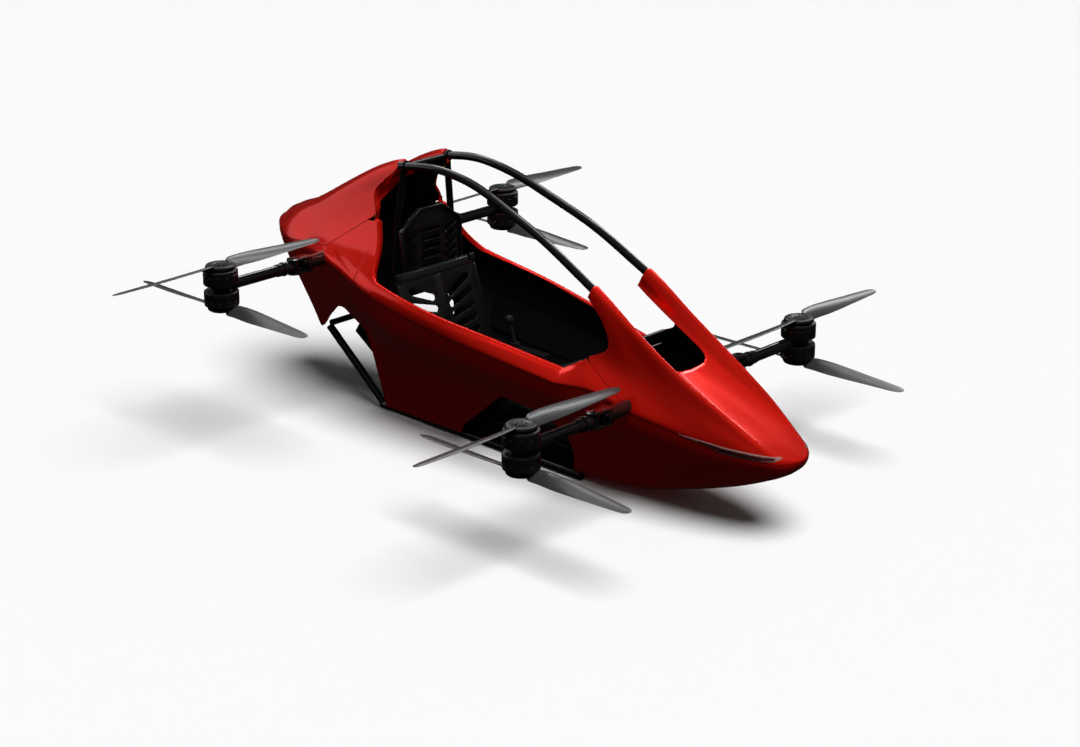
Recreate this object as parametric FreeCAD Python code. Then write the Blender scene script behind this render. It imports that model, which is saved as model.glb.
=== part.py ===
import FreeCAD, Part
import math, os
from FreeCAD import Vector

# One-seat ultralight with four folding arms and eight coaxial propellers.
# Working lines: x to port, y aft from the nose point, z up from the nose point.
# Every shape is moved at the end so that z = 0 is the ground and y = 0 is the
# middle of the overall length.

# ---------------------------------------------------------------- sizes (mm)
GROUND = -292.0          # underside of the skid rails, on the working lines
NOSE_Y = 0.0
PROP_R = 472.0           # propeller radius
ARM_X = 728.0            # motor axis from the centre plane
FRONT_Y, FRONT_Z = 582.0, 86.6
REAR_Y, REAR_Z = 2106.0, 294.2
MID_Y = (NOSE_Y + REAR_Y + PROP_R) / 2.0

SKIN = 6.0               # body shell
SEAM = 2.0               # gap at a panel seam
LINER = 4.0              # cockpit liner
TUBE_R = 15.0            # every frame tube

PIVOT_X = 385.0          # arm fold axis
LUG_R, LUG_T = 25.0, 7.0
KNUCKLE_H = 44.0
PIN_R = 6.0
RUN = 0.08               # running clearance on a pin

MOTOR_R = 64.0
MOTOR_H = 49.0           # one drum
WAIST_H = 32.0           # mount between the two drums
WAIST_R = 40.0
PROP_GAP = 14.0          # drum end to the blades' plane

RAIL_X = 130.0
RAIL_Z = GROUND + TUBE_R
RAIL_Y0, RAIL_Y1 = 868.0, 1915.0
BAR_X = 110.0            # roll bar at its rear collar
COLLAR_Y, COLLAR_Z = 1781.0, 687.0

# ------------------------------------------------- body sections, port half
# (y, hood middle z, valley edge (x, z), fin inner face (x, z), outer points
#  (x, z) from the ridge down over the elbow and the waist to the bottom
#  corner, belly middle z)
NOSE = [
    (0.0,   -2,  (10, -1),   (15, 1),    [(20, 2), (28, 1), (33, -1), (36, -4), (37, -8), (36, -13), (32, -18), (26, -22), (18, -26)], -27),
    (40.0,  13,  (40, 10),   (56, 9),    [(68, 8), (75, 6), (81, 2), (85, -4), (86, -12), (83, -25), (75, -38), (62, -52), (42, -64)], -67),
    (110.0, 41,  (66, 41),   (84, 43),   [(96, 44), (104, 39), (112, 28), (119, 14), (122, 1), (119, -22), (105, -48), (82, -77), (52, -101)], -105),
    (250.0, 97,  (84, 103),  (108, 120), [(124, 128), (132, 122), (143, 94), (158, 56), (166, 20), (158, -22), (136, -68), (102, -118), (66, -158)], -163),
    (420.0, 166, (92, 180),  (120, 208), [(142, 221), (151, 213), (164, 164), (182, 105), (203, 52), (195, 0), (166, -68), (124, -150), (84, -212)], -218),
    (600.0, 240, (98, 268),  (120, 304), [(140, 325), (154, 318), (166, 250), (190, 165), (236, 88), (226, 25), (190, -62), (142, -172), (102, -262)], -266),
    (760.0, 300, (102, 352), (116, 400), [(133, 426), (152, 424), (164, 395), (190, 222), (258, 126), (246, 45), (204, -50), (154, -180), (118, -280)], -286),
    (850.0, 330, (104, 404), (111, 450), [(128, 475), (148, 474), (159, 450), (193, 245), (268, 118), (254, 45), (208, -45), (158, -175), (124, -281)], -286),
    (960.0, 350, (100, 454), (105, 500), [(122, 527), (142, 526), (154, 500), (196, 260), (280, 120), (262, 45), (214, -42), (164, -170), (132, -281)], -286),
]
# (y, outer points (x, z) from the inner rim edge to the bottom corner)
SIDE = [
    (560.0,  [(150, 262), (160, 262), (172, 215), (190, 165), (230, 90), (220, 30), (186, -60), (140, -168), (104, -256)]),
    (760.0,  [(160, 222), (172, 224), (192, 212), (222, 178), (258, 126), (246, 45), (204, -50), (154, -180), (118, -280)]),
    (900.0,  [(201, 150), (212, 160), (230, 156), (252, 140), (273, 116), (256, 45), (210, -44), (160, -172), (128, -281)]),
    (1165.0, [(239, 188), (250, 199), (268, 197), (287, 182), (300, 152), (280, 70), (225, -32), (177, -165), (146, -276)]),
    (1430.0, [(279, 222), (289, 233), (301, 229), (311, 211), (314, 182), (292, 90), (232, -20), (186, -155), (153, -272)]),
    (1700.0, [(271, 265), (282, 276), (298, 270), (309, 250), (314, 222), (296, 118), (238, 4), (190, -140), (156, -270)]),
]
# (y, outer points (x, z) from the inner edge of the crest to the bottom corner)
AFT = [
    (1700.0, [(88, 708), (106, 722), (126, 700), (148, 610), (184, 480), (238, 362), (298, 270), (309, 250), (314, 222), (296, 118), (238, 4), (190, -140), (156, -270)]),
    (1800.0, [(90, 698), (108, 709), (128, 688), (147, 600), (180, 478), (228, 370), (288, 290), (303, 268), (308, 240), (288, 140), (234, 20), (186, -130), (155, -270)]),
    (1900.0, [(93, 662), (111, 673), (131, 652), (149, 572), (177, 470), (217, 376), (270, 306), (286, 286), (292, 260), (274, 165), (228, 45), (182, -110), (154, -270)]),
    (2000.0, [(95, 613), (113, 624), (133, 603), (151, 535), (175, 450), (208, 375), (247, 320), (262, 302), (268, 278), (254, 190), (222, 75), (178, -80), (152, -250)]),
    (2110.0, [(96, 553), (114, 564), (134, 543), (152, 488), (172, 425), (196, 368), (224, 330), (237, 314), (243, 292), (236, 212), (210, 105), (174, -30), (150, -160)]),
    (2250.0, [(96, 477), (114, 487), (134, 466), (151, 426), (167, 385), (183, 350), (198, 325), (206, 308), (209, 288), (206, 220), (188, 130), (164, 30), (148, -70)]),
    (2400.0, [(92, 412), (108, 418), (128, 402), (142, 382), (153, 362), (163, 342), (171, 325), (176, 310), (178, 296), (176, 256), (166, 210), (150, 150), (138, 100)]),
    (2500.0, [(84, 362), (98, 366), (114, 358), (124, 350), (131, 342), (136, 334), (139, 326), (141, 318), (142, 310), (140, 298), (136, 288), (130, 278), (124, 268)]),
]
# seam and edge lines as (y, z)
FIN_EDGE = [(700, 566), (797, 452), (838, 402), (800, 345), (758, 292), (728, 262), (714, 250), (722, 238)]
SEAM_FRONT = [(786, 209), (604, 108), (604, 66), (948, -66)]
NOSE_REAR = [(892, -117), (884, -165), (886, -225), (905, -265), (935, -300)]
CUT_FRONT = [(1000, -42), (1090, -33), (1172, -28), (1196, -42), (1432, -226), (1456, -262), (1456, -340)]
LEAD_EDGE = [(1752, 279), (1788, 309), (1806, 353), (1826, 411), (1850, 460), (1878, 529), (1886, 575), (1872, 622), (1815, 662), (1800, 690)]
SEAM_REAR = [(1866, 500), (2110, 342), (2560, 276)]
TAIL_EDGE = [(2510, 300), (2400, 280), (2338, 172), (2278, 68), (2228, -30)]
CUT_REAR = [(2228, -30), (2200, -12), (2140, 44), (2064, 101), (2040, 114), (2012, 119), (1990, 114), (1912, 75), (1852, 27), (1845, -4), (1847, -40), (1853, -100), (1862, -190), (1868, -300)]

# ---------------------------------------------------------------- helpers
def offset_in(pts, t):
    """An open section line moved t towards the inside of the body."""
    out = []
    for i, (x, z) in enumerate(pts):
        nx = nz = 0.0
        for a, b in ((i - 1, i), (i, i + 1)):
            if a < 0 or b >= len(pts):
                continue
            tx, tz = pts[b][0] - pts[a][0], pts[b][1] - pts[a][1]
            d = math.hypot(tx, tz)
            nx += tz / d
            nz -= tx / d
        d = math.hypot(nx, nz)
        out.append((x + t * nx / d, z + t * nz / d))
    return out


def polygon(points):
    return Part.makePolygon([Vector(*p) for p in points] + [Vector(*points[0])])


def ruled(wires):
    return Part.makeLoft(wires, True, True)


def strip(rows, first=0, last=None, inner=0.0, t=SKIN):
    """A shell strip: the section points first..last, from inner to inner + t inside the skin."""
    wires = []
    for y, pts in rows:
        a = offset_in(pts, inner)[first:last] if inner else pts[first:last]
        b = offset_in(pts, inner + t)[first:last]
        wires.append(polygon([(x, y, z) for x, z in a] + [(x, y, z) for x, z in reversed(b)]))
    return ruled(wires)


def slab(line, x0=-700.0, x1=700.0):
    """A prism across the body over a (y, z) outline."""
    face = Part.Face(polygon([(x0, y, z) for y, z in line]))
    return face.extrude(Vector(x1 - x0, 0, 0))


def plan(line, z0, z1):
    """An upright prism over an (x, y) outline."""
    face = Part.Face(polygon([(x, y, z0) for x, y in line]))
    return face.extrude(Vector(0, 0, z1 - z0))


def box(x0, x1, y0, y1, z0, z1):
    return Part.makeBox(x1 - x0, y1 - y0, z1 - z0, Vector(x0, y0, z0))


def rod(p, q, r, bore=0.0):
    p, q = Vector(*p), Vector(*q)
    s = Part.makeCylinder(r, (q - p).Length, p, q - p)
    return s.cut(Part.makeCylinder(bore, (q - p).Length, p, q - p)) if bore else s


def path(points, radius):
    """Straight runs joined by tangent arcs."""
    v = [Vector(*p) for p in points]
    edges, start = [], v[0]
    for i in range(1, len(v) - 1):
        a, b = (v[i - 1] - v[i]).normalize(), (v[i + 1] - v[i]).normalize()
        half = math.acos(max(-1, min(1, a.dot(b)))) / 2
        reach = min(radius / math.tan(half), 0.49 * (v[i - 1] - v[i]).Length, 0.49 * (v[i + 1] - v[i]).Length)
        r = reach * math.tan(half)
        p, q = v[i] + a * reach, v[i] + b * reach
        mid = (a + b).normalize()
        m = v[i] + mid * (r / math.sin(half) - r)
        edges += [Part.makeLine(start, p), Part.Arc(p, m, q).toShape()]
        start = q
    edges.append(Part.makeLine(start, v[-1]))
    return Part.Wire(edges)


def bent(points, radius, r=TUBE_R):
    """A bent round bar along straight runs and arcs."""
    w = path(points, radius)
    e = w.Edges[0]
    ring = Part.Wire(Part.makeCircle(r, e.valueAt(e.FirstParameter), e.tangentAt(e.FirstParameter)))
    pipe = Part.BRepOffsetAPI.MakePipeShell(w)
    pipe.setFrenetMode(True)
    pipe.add(ring)
    pipe.build()
    pipe.makeSolid()
    return pipe.shape()


def fuse(*shapes):
    s = shapes[0].fuse(list(shapes[1:])) if len(shapes) > 1 else shapes[0]
    return s.removeSplitter() if len(s.Faces) < 400 else s


def other_side(s):
    return s.mirror(Vector(0, 0, 0), Vector(1, 0, 0))


def both(s):
    return Part.makeCompound([s, other_side(s)])


def save(name, s):
    s = s.copy()
    s.translate(Vector(0, -MID_Y, -GROUND))
    s.exportStep(os.path.join("parts", name + ".step"))


def pair(name, s, port="left", starboard="right"):
    """A piece built on the port side, and its mirror."""
    save(name + "_" + port, s)
    save(name + "_" + starboard, other_side(s))


# ---------------------------------------------------------------- body shell
def closed_section(row, t):
    y, hood, edge, fin, outer, belly = row
    half = [(0.0, hood), edge, fin] + list(outer) + [(0.0, belly)]
    if t:
        half = offset_in(half, t)
        half[0] = (0.0, hood - t)
        half[-1] = (0.0, belly + t)
    ring = half + [(-x, z) for x, z in reversed(half[1:-1])]
    return polygon([(x, y, z) for x, z in ring])


def nose_shell():
    outer = ruled([closed_section(r, 0.0) for r in NOSE])
    inner = ruled([closed_section(r, SKIN) for r in NOSE[1:]])
    shell = outer.cut(inner)
    behind = FIN_EDGE + SEAM_FRONT + NOSE_REAR + [(1100, -400), (1100, 600), (700, 600)]
    shell = shell.cut(slab([(y, z) for y, z in behind]))
    # footwell mouth between the two fins
    mouth = plan([(-56, 478), (56, 478), (84, 492), (97, 525), (97, 1000), (-97, 1000), (-97, 525), (-84, 492)], 120, 700)
    return shell.cut(mouth)


def shifted(line, dy, dz):
    return [(y + dy, z + dz) for y, z in line]


side_full = strip(SIDE)
aft_full = strip(AFT)
front_of_lead = [(1600, 271)] + LEAD_EDGE + [(1800, 760), (1600, 760)]
aft_open = aft_full.cut(slab(front_of_lead))
above_seam = [(1600, 900), (1600, 620)] + SEAM_REAR + [(2560, 900)]
behind_tail = [(2700, 300)] + TAIL_EDGE + CUT_REAR[1:] + [(1868, -400), (2700, -400)]
hump = aft_open.common(slab(shifted(above_seam, 0, SEAM))).cut(slab(behind_tail))
lower_aft = aft_open.cut(slab(above_seam)).cut(slab(behind_tail))
before_seam = [(400, 420), (786 + SEAM, 420)] + shifted(SEAM_FRONT, SEAM, SEAM * 0.5) + CUT_FRONT + [(400, -340)]
side_front = side_full.cut(slab(before_seam))
side_panel = fuse(side_front, lower_aft)

nose = nose_shell()

# holes in the shell where the arm mounts come through
def port_hole(y, z, r):
    return rod((150, y, z), (330, y, z), r)


HOLE_R = 31.0
front_hole, rear_hole = port_hole(FRONT_Y, FRONT_Z, HOLE_R), port_hole(REAR_Y, REAR_Z, HOLE_R)
groove = rod((RAIL_X, RAIL_Y0 - 1, RAIL_Z), (RAIL_X, 1000, RAIL_Z), TUBE_R + 0.5)
nose = nose.cut([front_hole, other_side(front_hole), groove, other_side(groove)])
# the roll bars run down into sockets in the fins
ROLL = [(139, 786, 420), (129, 1050, 556), (104, 1420, 686), (108, 1620, 710), (BAR_X, COLLAR_Y, COLLAR_Z)]
socket = bent(ROLL, 1400.0, TUBE_R + 0.4)
nose = nose.cut([socket, other_side(socket)])
side_panel = side_panel.cut(front_hole).cut(rear_hole)
hump = hump.cut(rear_hole)

# cockpit liner, inside the side panel from the rim to the waist
liner = strip(SIDE[1:], 1, 7, SKIN + 0.5, LINER).cut(slab([(700, 400), (800, 400), (800, -340), (700, -340)]))

# black deck between the humps and the bulkhead under it
DECK = [(1812, 640), (1900, 592), (2000, 545), (2110, 490), (2250, 420), (2400, 372), (2470, 352)]
DECK_X = [84, 86, 88, 89, 89, 85, 78]
deck = ruled([polygon([(-x, y, z), (x, y, z), (x, y, z - 5), (-x, y, z - 5)]) for x, (y, z) in zip(DECK_X, DECK)])
bulkhead = slab([(1890, 130), (1896, 130), (1956, 556), (1950, 558)], -165, 165)
side_cut = Part.Face(polygon([(86, 1700, 700), (90, 1700, 556), (165, 1700, 400), (260, 1700, 300), (260, 1700, 700)])).extrude(Vector(0, 400, 0))
bulkhead = bulkhead.cut(side_cut).cut(other_side(side_cut))

# ---------------------------------------------------------------- frame tubes
roll_bar = bent(ROLL, 1400.0)
collar = rod((110, 1768, 689), (110, 1795, 685), 20)
roll_bar = roll_bar.cut(collar)
cross_top = rod((-92, 1782, 684), (92, 1782, 684), 12).cut(both(collar))
post = bent([(112, 1783, 666), (190, 1822, 20), (RAIL_X - 1, 1874, RAIL_Z + 14)], 60.0, 13).cut(collar)
mid_cross = rod((-190, 1822, 24), (190, 1822, 24), 12).cut(both(post))
rail = rod((RAIL_X, RAIL_Y0, RAIL_Z), (RAIL_X, RAIL_Y1, RAIL_Z), TUBE_R)
post = post.cut(rail)
brace = rod((RAIL_X, RAIL_Y1 - 8, RAIL_Z + 6), (134, 2204, -28), TUBE_R).cut(rail)
rail_cross_ys = [975.0, 1430.0, 1880.0]
rails = both(rail)
rail_cross = [rod((-RAIL_X + 6, y, RAIL_Z), (RAIL_X - 6, y, RAIL_Z), 11).cut(rails) for y in rail_cross_ys]
tail_cross = rod((-128, 2204, -16), (128, 2204, -16), 12).cut(both(brace))
spars = {"front_spar": (FRONT_Y, FRONT_Z), "rear_spar": (REAR_Y, REAR_Z)}

# ---------------------------------------------------------------- arms
def arm_mount():
    """Fixed half of the fold hinge, along +x at y = z = 0."""
    body = rod((205, 0, 0), (318, 0, 0), 27)
    back = box(310, 338, -24, 24, -KNUCKLE_H / 2 - LUG_T, KNUCKLE_H / 2 + LUG_T)
    s = body.fuse(back)
    for side in (-1, 1):
        z = KNUCKLE_H / 2 + 0.5 if side > 0 else -KNUCKLE_H / 2 - 0.5 - LUG_T
        lug = Part.makeCylinder(LUG_R, LUG_T, Vector(PIVOT_X, 0, z)).fuse(box(320, PIVOT_X, -24, 24, z, z + LUG_T))
        s = s.fuse(lug)
    pin = Part.makeCylinder(PIN_R, KNUCKLE_H + 2 * LUG_T + 8, Vector(PIVOT_X, 0, -KNUCKLE_H / 2 - LUG_T - 4))
    return s.fuse(pin).removeSplitter()


def arm():
    """Knuckle, tube and twin-motor mount."""
    knuckle = Part.makeCylinder(22, KNUCKLE_H, Vector(PIVOT_X, 0, -KNUCKLE_H / 2))
    ferrule = rod((PIVOT_X + 8, 0, 0), (PIVOT_X + 62, 0, 0), 19)
    tube = rod((PIVOT_X + 50, 0, 0), (ARM_X, 0, 0), TUBE_R)
    waist = Part.makeCylinder(WAIST_R, WAIST_H, Vector(ARM_X, 0, -WAIST_H / 2))
    s = knuckle.fuse([ferrule, tube, waist])
    hole = Part.makeCylinder(PIN_R + RUN, KNUCKLE_H + 2, Vector(PIVOT_X, 0, -KNUCKLE_H / 2 - 1))
    return s.cut(hole).removeSplitter()


def drum(side):
    z = WAIST_H / 2 if side > 0 else -WAIST_H / 2 - MOTOR_H
    if side < 0:
        z -= 0.5
    s = Part.makeCylinder(MOTOR_R, MOTOR_H, Vector(ARM_X, 0, z))
    rim = [e for e in s.Edges if isinstance(e.Curve, Part.Circle)]
    return s.makeChamfer(3.0, rim)


# blade stations: (radius, chord, twist in degrees, thickness)
BLADE = [(18, 34, 30, 12), (60, 44, 27, 10), (120, 66, 23, 8), (200, 82, 18, 6.5), (300, 76, 14, 5), (400, 56, 11, 3.6), (455, 34, 9, 2.6), (PROP_R, 8, 8, 1.6)]


def blade():
    wires = []
    for r, chord, twist, thick in BLADE:
        c, s = math.cos(math.radians(twist)), math.sin(math.radians(twist))
        pts = []
        for u, w in ((-0.5, 0.0), (-0.25, 0.5), (0.2, 0.5), (0.5, 0.0), (0.2, -0.5), (-0.25, -0.5)):
            a, b = u * chord, w * thick
            pts.append((r, a * c - b * s, a * s + b * c))
        wires.append(polygon(pts))
    return ruled(wires)


def propeller():
    """Two blades along x about the origin, the aft edge of the +x blade high."""
    one = blade()
    two = one.copy()
    two.rotate(Vector(0, 0, 0), Vector(0, 0, 1), 180)
    hub = Part.makeCylinder(24, 16, Vector(0, 0, -8))
    return hub.fuse([one, two])


# ---------------------------------------------------------------- cockpit
def plate(p0, p1, half_width, t, corner=30.0):
    """A flat plate across the body between two (y, z) points, with rounded corners."""
    (y0, z0), (y1, z1) = p0, p1
    length = math.hypot(y1 - y0, z1 - z0)
    s = box(-half_width, half_width, 0, length, -t / 2, t / 2)
    upright = [e for e in s.Edges if abs(e.tangentAt(e.FirstParameter).z) > 0.9]
    s = s.makeFillet(corner, upright)
    return s, math.degrees(math.atan2(z1 - z0, y1 - y0)), Vector(0, y0, z0)


def place(s, angle, origin):
    s = s.copy()
    s.rotate(Vector(0, 0, 0), Vector(1, 0, 0), angle)
    s.translate(origin)
    return s


def slot(u, v, length, width, lean):
    """A rounded slot in a plate's own plane."""
    r = width / 2
    s = box(-length / 2 + r, length / 2 - r, -r, r, -20, 20)
    s = s.fuse([Part.makeCylinder(r, 40, Vector(x, 0, -20)) for x in (-length / 2 + r, length / 2 - r)])
    s.rotate(Vector(0, 0, 0), Vector(0, 0, 1), lean)
    s.translate(Vector(u, v, 0))
    return s


# (distance down the back from its lower edge, slot length, slot width, lean)
BACK_SLOTS = [(52, 110, 24, 4), (98, 118, 24, 8), (144, 126, 25, 12), (190, 132, 26, 17), (240, 132, 27, 24)]
SEAT_LOW, SEAT_TOP = (1640, -28), (1752, 290)
seat, seat_angle, seat_origin = plate(SEAT_LOW, SEAT_TOP, 205, 8)
for v, length, width, lean in BACK_SLOTS:
    for sx in (-1, 1):
        seat = seat.cut(slot(sx * 92, v, length, width, sx * lean))
seat_back = place(seat, seat_angle, seat_origin)

pan, pan_angle, pan_origin = plate((1240, -62), (1634, -42), 160, 8)
for v in (70, 120, 170, 220, 270, 320):
    for sx in (-1, 1):
        pan = pan.cut(slot(sx * 78, v, 100, 22, sx * 10))
seat_pan = place(pan, pan_angle, pan_origin)

head, head_angle, head_origin = plate((1766, 240), (1770, 512), 150, 8, 20.0)
head = head.cut([plan([(sx * 62, 273), (sx * 150, 205), (sx * 150, 300), (sx * 62, 300)], -20, 20) for sx in (-1, 1)])
for v in (50, 84, 118, 152, 186):
    head = head.cut(slot(0, v, 96, 14, 0))
    for sx in (-1, 1):
        head = head.cut(slot(sx * 100, v - 8, 60, 14, sx * 30))
head_rest = place(head, head_angle, head_origin)

seat_tubes = [bent([(sx * 120, 1262, -73.2), (sx * 120, 1655, -53.2), (sx * 128, 1815, 20)], 40.0, 8).cut(mid_cross) for sx in (-1, 1)]
armrest = box(166, 206, 1340, 1622, -40, -22)
stick = rod((186, 1505, -18), (186, 1532, 62), 8).fuse(Part.makeSphere(19, Vector(186, 1535, 74)))
stick = stick.fuse(Part.makeCylinder(18, 12, Vector(186, 1505, -22))).cut(armrest)

battery_pack = place(box(-105, 105, 0, 222, 0, 100), 33.5, Vector(0, 1906, -152))

dash = fuse(rod((-150, 742, 222), (150, 742, 222), 11), rod((-158, 752, 172), (158, 752, 172), 9))
foot_bar = rod((-100, 470, -60), (100, 470, -60), 12)

# ---------------------------------------------------------------- write
os.makedirs("parts", exist_ok=True)
save("nose_shell", nose)
pair("side_panel", side_panel)
pair("tail_hump", hump)
pair("cockpit_liner", liner)
save("rear_deck", deck)
save("rear_bulkhead", bulkhead)
pair("roll_bar", roll_bar)
save("roll_bar_collars", both(collar))
save("roll_bar_crossbar", cross_top)
pair("main_post", post)
save("mid_crossbar", mid_cross)
pair("skid_rail", rail)
save("rail_crossbars", Part.makeCompound(rail_cross))
pair("rear_brace", brace)
save("tail_crossbar", tail_cross)
for name, (y, z) in spars.items():
    save(name, rod((-204, y, z), (204, y, z), TUBE_R))
save("seat_back", seat_back)
save("seat_pan", seat_pan)
save("head_rest", head_rest)
save("control_sticks", both(stick))
save("armrests", both(armrest))
save("battery_pack", battery_pack)
save("dash_bars", dash)
save("foot_rest", foot_bar)
save("seat_tubes", Part.makeCompound(seat_tubes))

mount, one_arm, prop = arm_mount(), arm(), propeller()
STATIONS = (("front", FRONT_Y, FRONT_Z), ("rear", REAR_Y, REAR_Z))
mounts = []
for end, y, z in STATIONS:
    m = mount.translated(Vector(0, y, z))
    mounts += [m, other_side(m)]
    for side in ("left", "right"):
        turn = (lambda s: s) if side == "left" else other_side
        save("arm_%s_%s" % (end, side), turn(one_arm.translated(Vector(0, y, z))))
        for level, sign in (("upper", 1), ("lower", -1)):
            save("motor_%s_%s_%s" % (level, end, side), turn(drum(sign).translated(Vector(0, y, z))))
            # all blades have the same hand, so they are moved and not mirrored
            p = prop.copy()
            if sign < 0:
                p.rotate(Vector(0, 0, 0), Vector(0, 0, 1), -90)
            dz = sign * (WAIST_H / 2 + MOTOR_H + PROP_GAP)
            x = ARM_X if side == "left" else -ARM_X
            save("propeller_%s_%s_%s" % (level, end, side), p.translated(Vector(x, y, z + dz)))
save("arm_mounts", Part.makeCompound(mounts))
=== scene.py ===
import bpy, bmesh, math, random
import numpy as np
from mathutils import Vector, Matrix


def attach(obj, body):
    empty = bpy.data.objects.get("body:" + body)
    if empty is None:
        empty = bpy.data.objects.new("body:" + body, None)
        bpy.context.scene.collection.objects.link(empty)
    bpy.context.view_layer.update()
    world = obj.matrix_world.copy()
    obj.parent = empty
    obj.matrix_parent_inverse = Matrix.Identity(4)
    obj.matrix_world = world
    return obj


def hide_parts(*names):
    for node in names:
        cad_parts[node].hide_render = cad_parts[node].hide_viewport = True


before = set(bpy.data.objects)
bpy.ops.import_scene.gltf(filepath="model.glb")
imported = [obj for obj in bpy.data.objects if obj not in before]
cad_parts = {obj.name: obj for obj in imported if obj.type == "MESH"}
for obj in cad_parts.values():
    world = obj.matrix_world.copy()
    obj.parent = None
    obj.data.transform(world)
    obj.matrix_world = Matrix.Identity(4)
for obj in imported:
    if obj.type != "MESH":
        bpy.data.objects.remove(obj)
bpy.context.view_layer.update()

# Working lines as in the part: mm, x to port, y aft and z up from the nose point.
MID_Y, GROUND = 1289.0, -292.0
ARM_X = 0.728
STATIONS = {"front": (0.582, 0.0866), "rear": (2.106, 0.2942)}
ROOT = "airframe"


def W(p):
    """Working mm -> metres in the part's frame."""
    q = np.array(p, float) * 0.001
    q[..., 1] -= MID_Y * 0.001
    q[..., 2] -= GROUND * 0.001
    return q


# ------------------------------------------------------------------ curves
def slopes(t, v):
    h = np.diff(t)
    h = h.reshape((-1,) + (1,) * (v.ndim - 1))
    d = np.diff(v, axis=0) / h
    m = np.empty_like(v)
    if len(t) == 2:
        m[:] = d[0]
        return m
    m[1:-1] = (d[:-1] * h[1:] + d[1:] * h[:-1]) / (h[1:] + h[:-1])
    m[0] = 1.5 * d[0] - 0.5 * m[1]
    m[-1] = 1.5 * d[-1] - 0.5 * m[-2]
    return m


def curve(t, v, x):
    """A smooth line through the points v at t, read at x."""
    t, v, x = np.asarray(t, float), np.asarray(v, float), np.asarray(x, float)
    m = slopes(t, v)
    i = np.clip(np.searchsorted(t, x, side="right") - 1, 0, len(t) - 2)
    h = t[i + 1] - t[i]
    u = (x - t[i]) / h
    sh = u.shape + (1,) * (v.ndim - 1)
    u, h = u.reshape(sh), h.reshape(sh)
    a, b, ma, mb = v[i], v[i + 1], m[i], m[i + 1]
    return ((2 * u**3 - 3 * u**2 + 1) * a + (u**3 - 2 * u**2 + u) * h * ma
            + (-2 * u**3 + 3 * u**2) * b + (u**3 - u**2) * h * mb)


def lerp(a, b, t):
    return a + (b - a) * t


def polyline_x(pts, y):
    """Second coordinate of a polyline at a first coordinate that only grows."""
    p = np.array(pts, float)
    return np.interp(y, p[:, 0], p[:, 1])


class Sheet:
    """A smooth surface through section points: rows of (x, z) at stations along y."""

    def __init__(self, stations, rows, power=1.0, even=0.5):
        self.power = power
        self.u = np.array(stations, float) ** power
        self.rows = np.array(rows, float)                  # (stations, points, 2)
        chord = np.linalg.norm(np.diff(self.rows, axis=1), axis=2).mean(axis=0)
        self.k = np.r_[0.0, np.cumsum(chord**even)]        # one value for each point

    def at(self, y, s):
        """3-D points for arrays y and s of one shape, s being the section line's own measure."""
        y, s = np.broadcast_arrays(np.asarray(y, float), np.asarray(s, float))
        shape = y.shape
        y, s = y.ravel(), s.ravel()
        pts = curve(self.u, self.rows, np.maximum(y, 0.0) ** self.power)   # (n, points, 2)
        k = self.k
        h = np.diff(k)
        d = np.diff(pts, axis=1) / h[None, :, None]
        m = np.empty_like(pts)
        m[:, 1:-1] = (d[:, :-1] * h[None, 1:, None] + d[:, 1:] * h[None, :-1, None]) / (h[None, 1:, None] + h[None, :-1, None])
        m[:, 0] = 1.5 * d[:, 0] - 0.5 * m[:, 1]
        m[:, -1] = 1.5 * d[:, -1] - 0.5 * m[:, -2]
        i = np.clip(np.searchsorted(k, s, side="right") - 1, 0, len(k) - 2)
        u = ((s - k[i]) / h[i])[:, None]
        hh = h[i][:, None]
        r = np.arange(len(s))
        a, b, ma, mb = pts[r, i], pts[r, i + 1], m[r, i], m[r, i + 1]
        q = ((2 * u**3 - 3 * u**2 + 1) * a + (u**3 - 2 * u**2 + u) * hh * ma
             + (-2 * u**3 + 3 * u**2) * b + (u**3 - u**2) * hh * mb)
        return np.stack([q[:, 0], y, q[:, 1]], axis=1).reshape(shape + (3,))

    def s_of_z(self, y, z, lo, hi, n=160):
        """Where the section at y is at height z, looking from s = lo down to s = hi."""
        ss = np.linspace(lo, hi, n)
        out = np.empty(len(y))
        for j, (yy, zz) in enumerate(zip(y, z)):
            c = self.at(np.full(n, yy), ss)[:, 2]
            c = np.minimum.accumulate(c)
            out[j] = np.interp(-zz, -c, ss)
        return out


# ------------------------------------------------------------------ meshes
def smooth(obj):
    obj.data.polygons.foreach_set("use_smooth", [True] * len(obj.data.polygons))
    obj.data.update()
    return obj


def obj_from(name, verts, faces, smooth_it=True):
    me = bpy.data.meshes.new(name)
    me.from_pydata([tuple(v) for v in verts], [], faces)
    me.validate()
    o = bpy.data.objects.new(name, me)
    bpy.context.scene.collection.objects.link(o)
    return smooth(o) if smooth_it else o


def build(name, grids, weld=2e-5):
    """One mesh from point grids: each is (points[m, n, 3], keep[m-1, n-1] or None, flip)."""
    verts, faces, base = [], [], 0
    for P, keep, flip in grids:
        m, n = P.shape[:2]
        verts.append(P.reshape(-1, 3))
        for i in range(m - 1):
            for j in range(n - 1):
                if keep is not None and not keep[i, j]:
                    continue
                q = (base + i * n + j, base + i * n + j + 1, base + (i + 1) * n + j + 1, base + (i + 1) * n + j)
                faces.append(q[::-1] if flip else q)
        base += m * n
    o = obj_from(name, np.concatenate(verts), faces)
    bm = bmesh.new()
    bm.from_mesh(o.data)
    loose = [v for v in bm.verts if not v.link_faces]
    bmesh.ops.delete(bm, geom=loose, context="VERTS")
    bmesh.ops.remove_doubles(bm, verts=bm.verts, dist=weld)
    bmesh.ops.dissolve_degenerate(bm, edges=bm.edges, dist=1e-6)
    bm.to_mesh(o.data)
    bm.free()
    return smooth(o)


def mirrored(P):
    Q = P.copy()
    Q[..., 0] *= -1
    return Q


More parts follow.
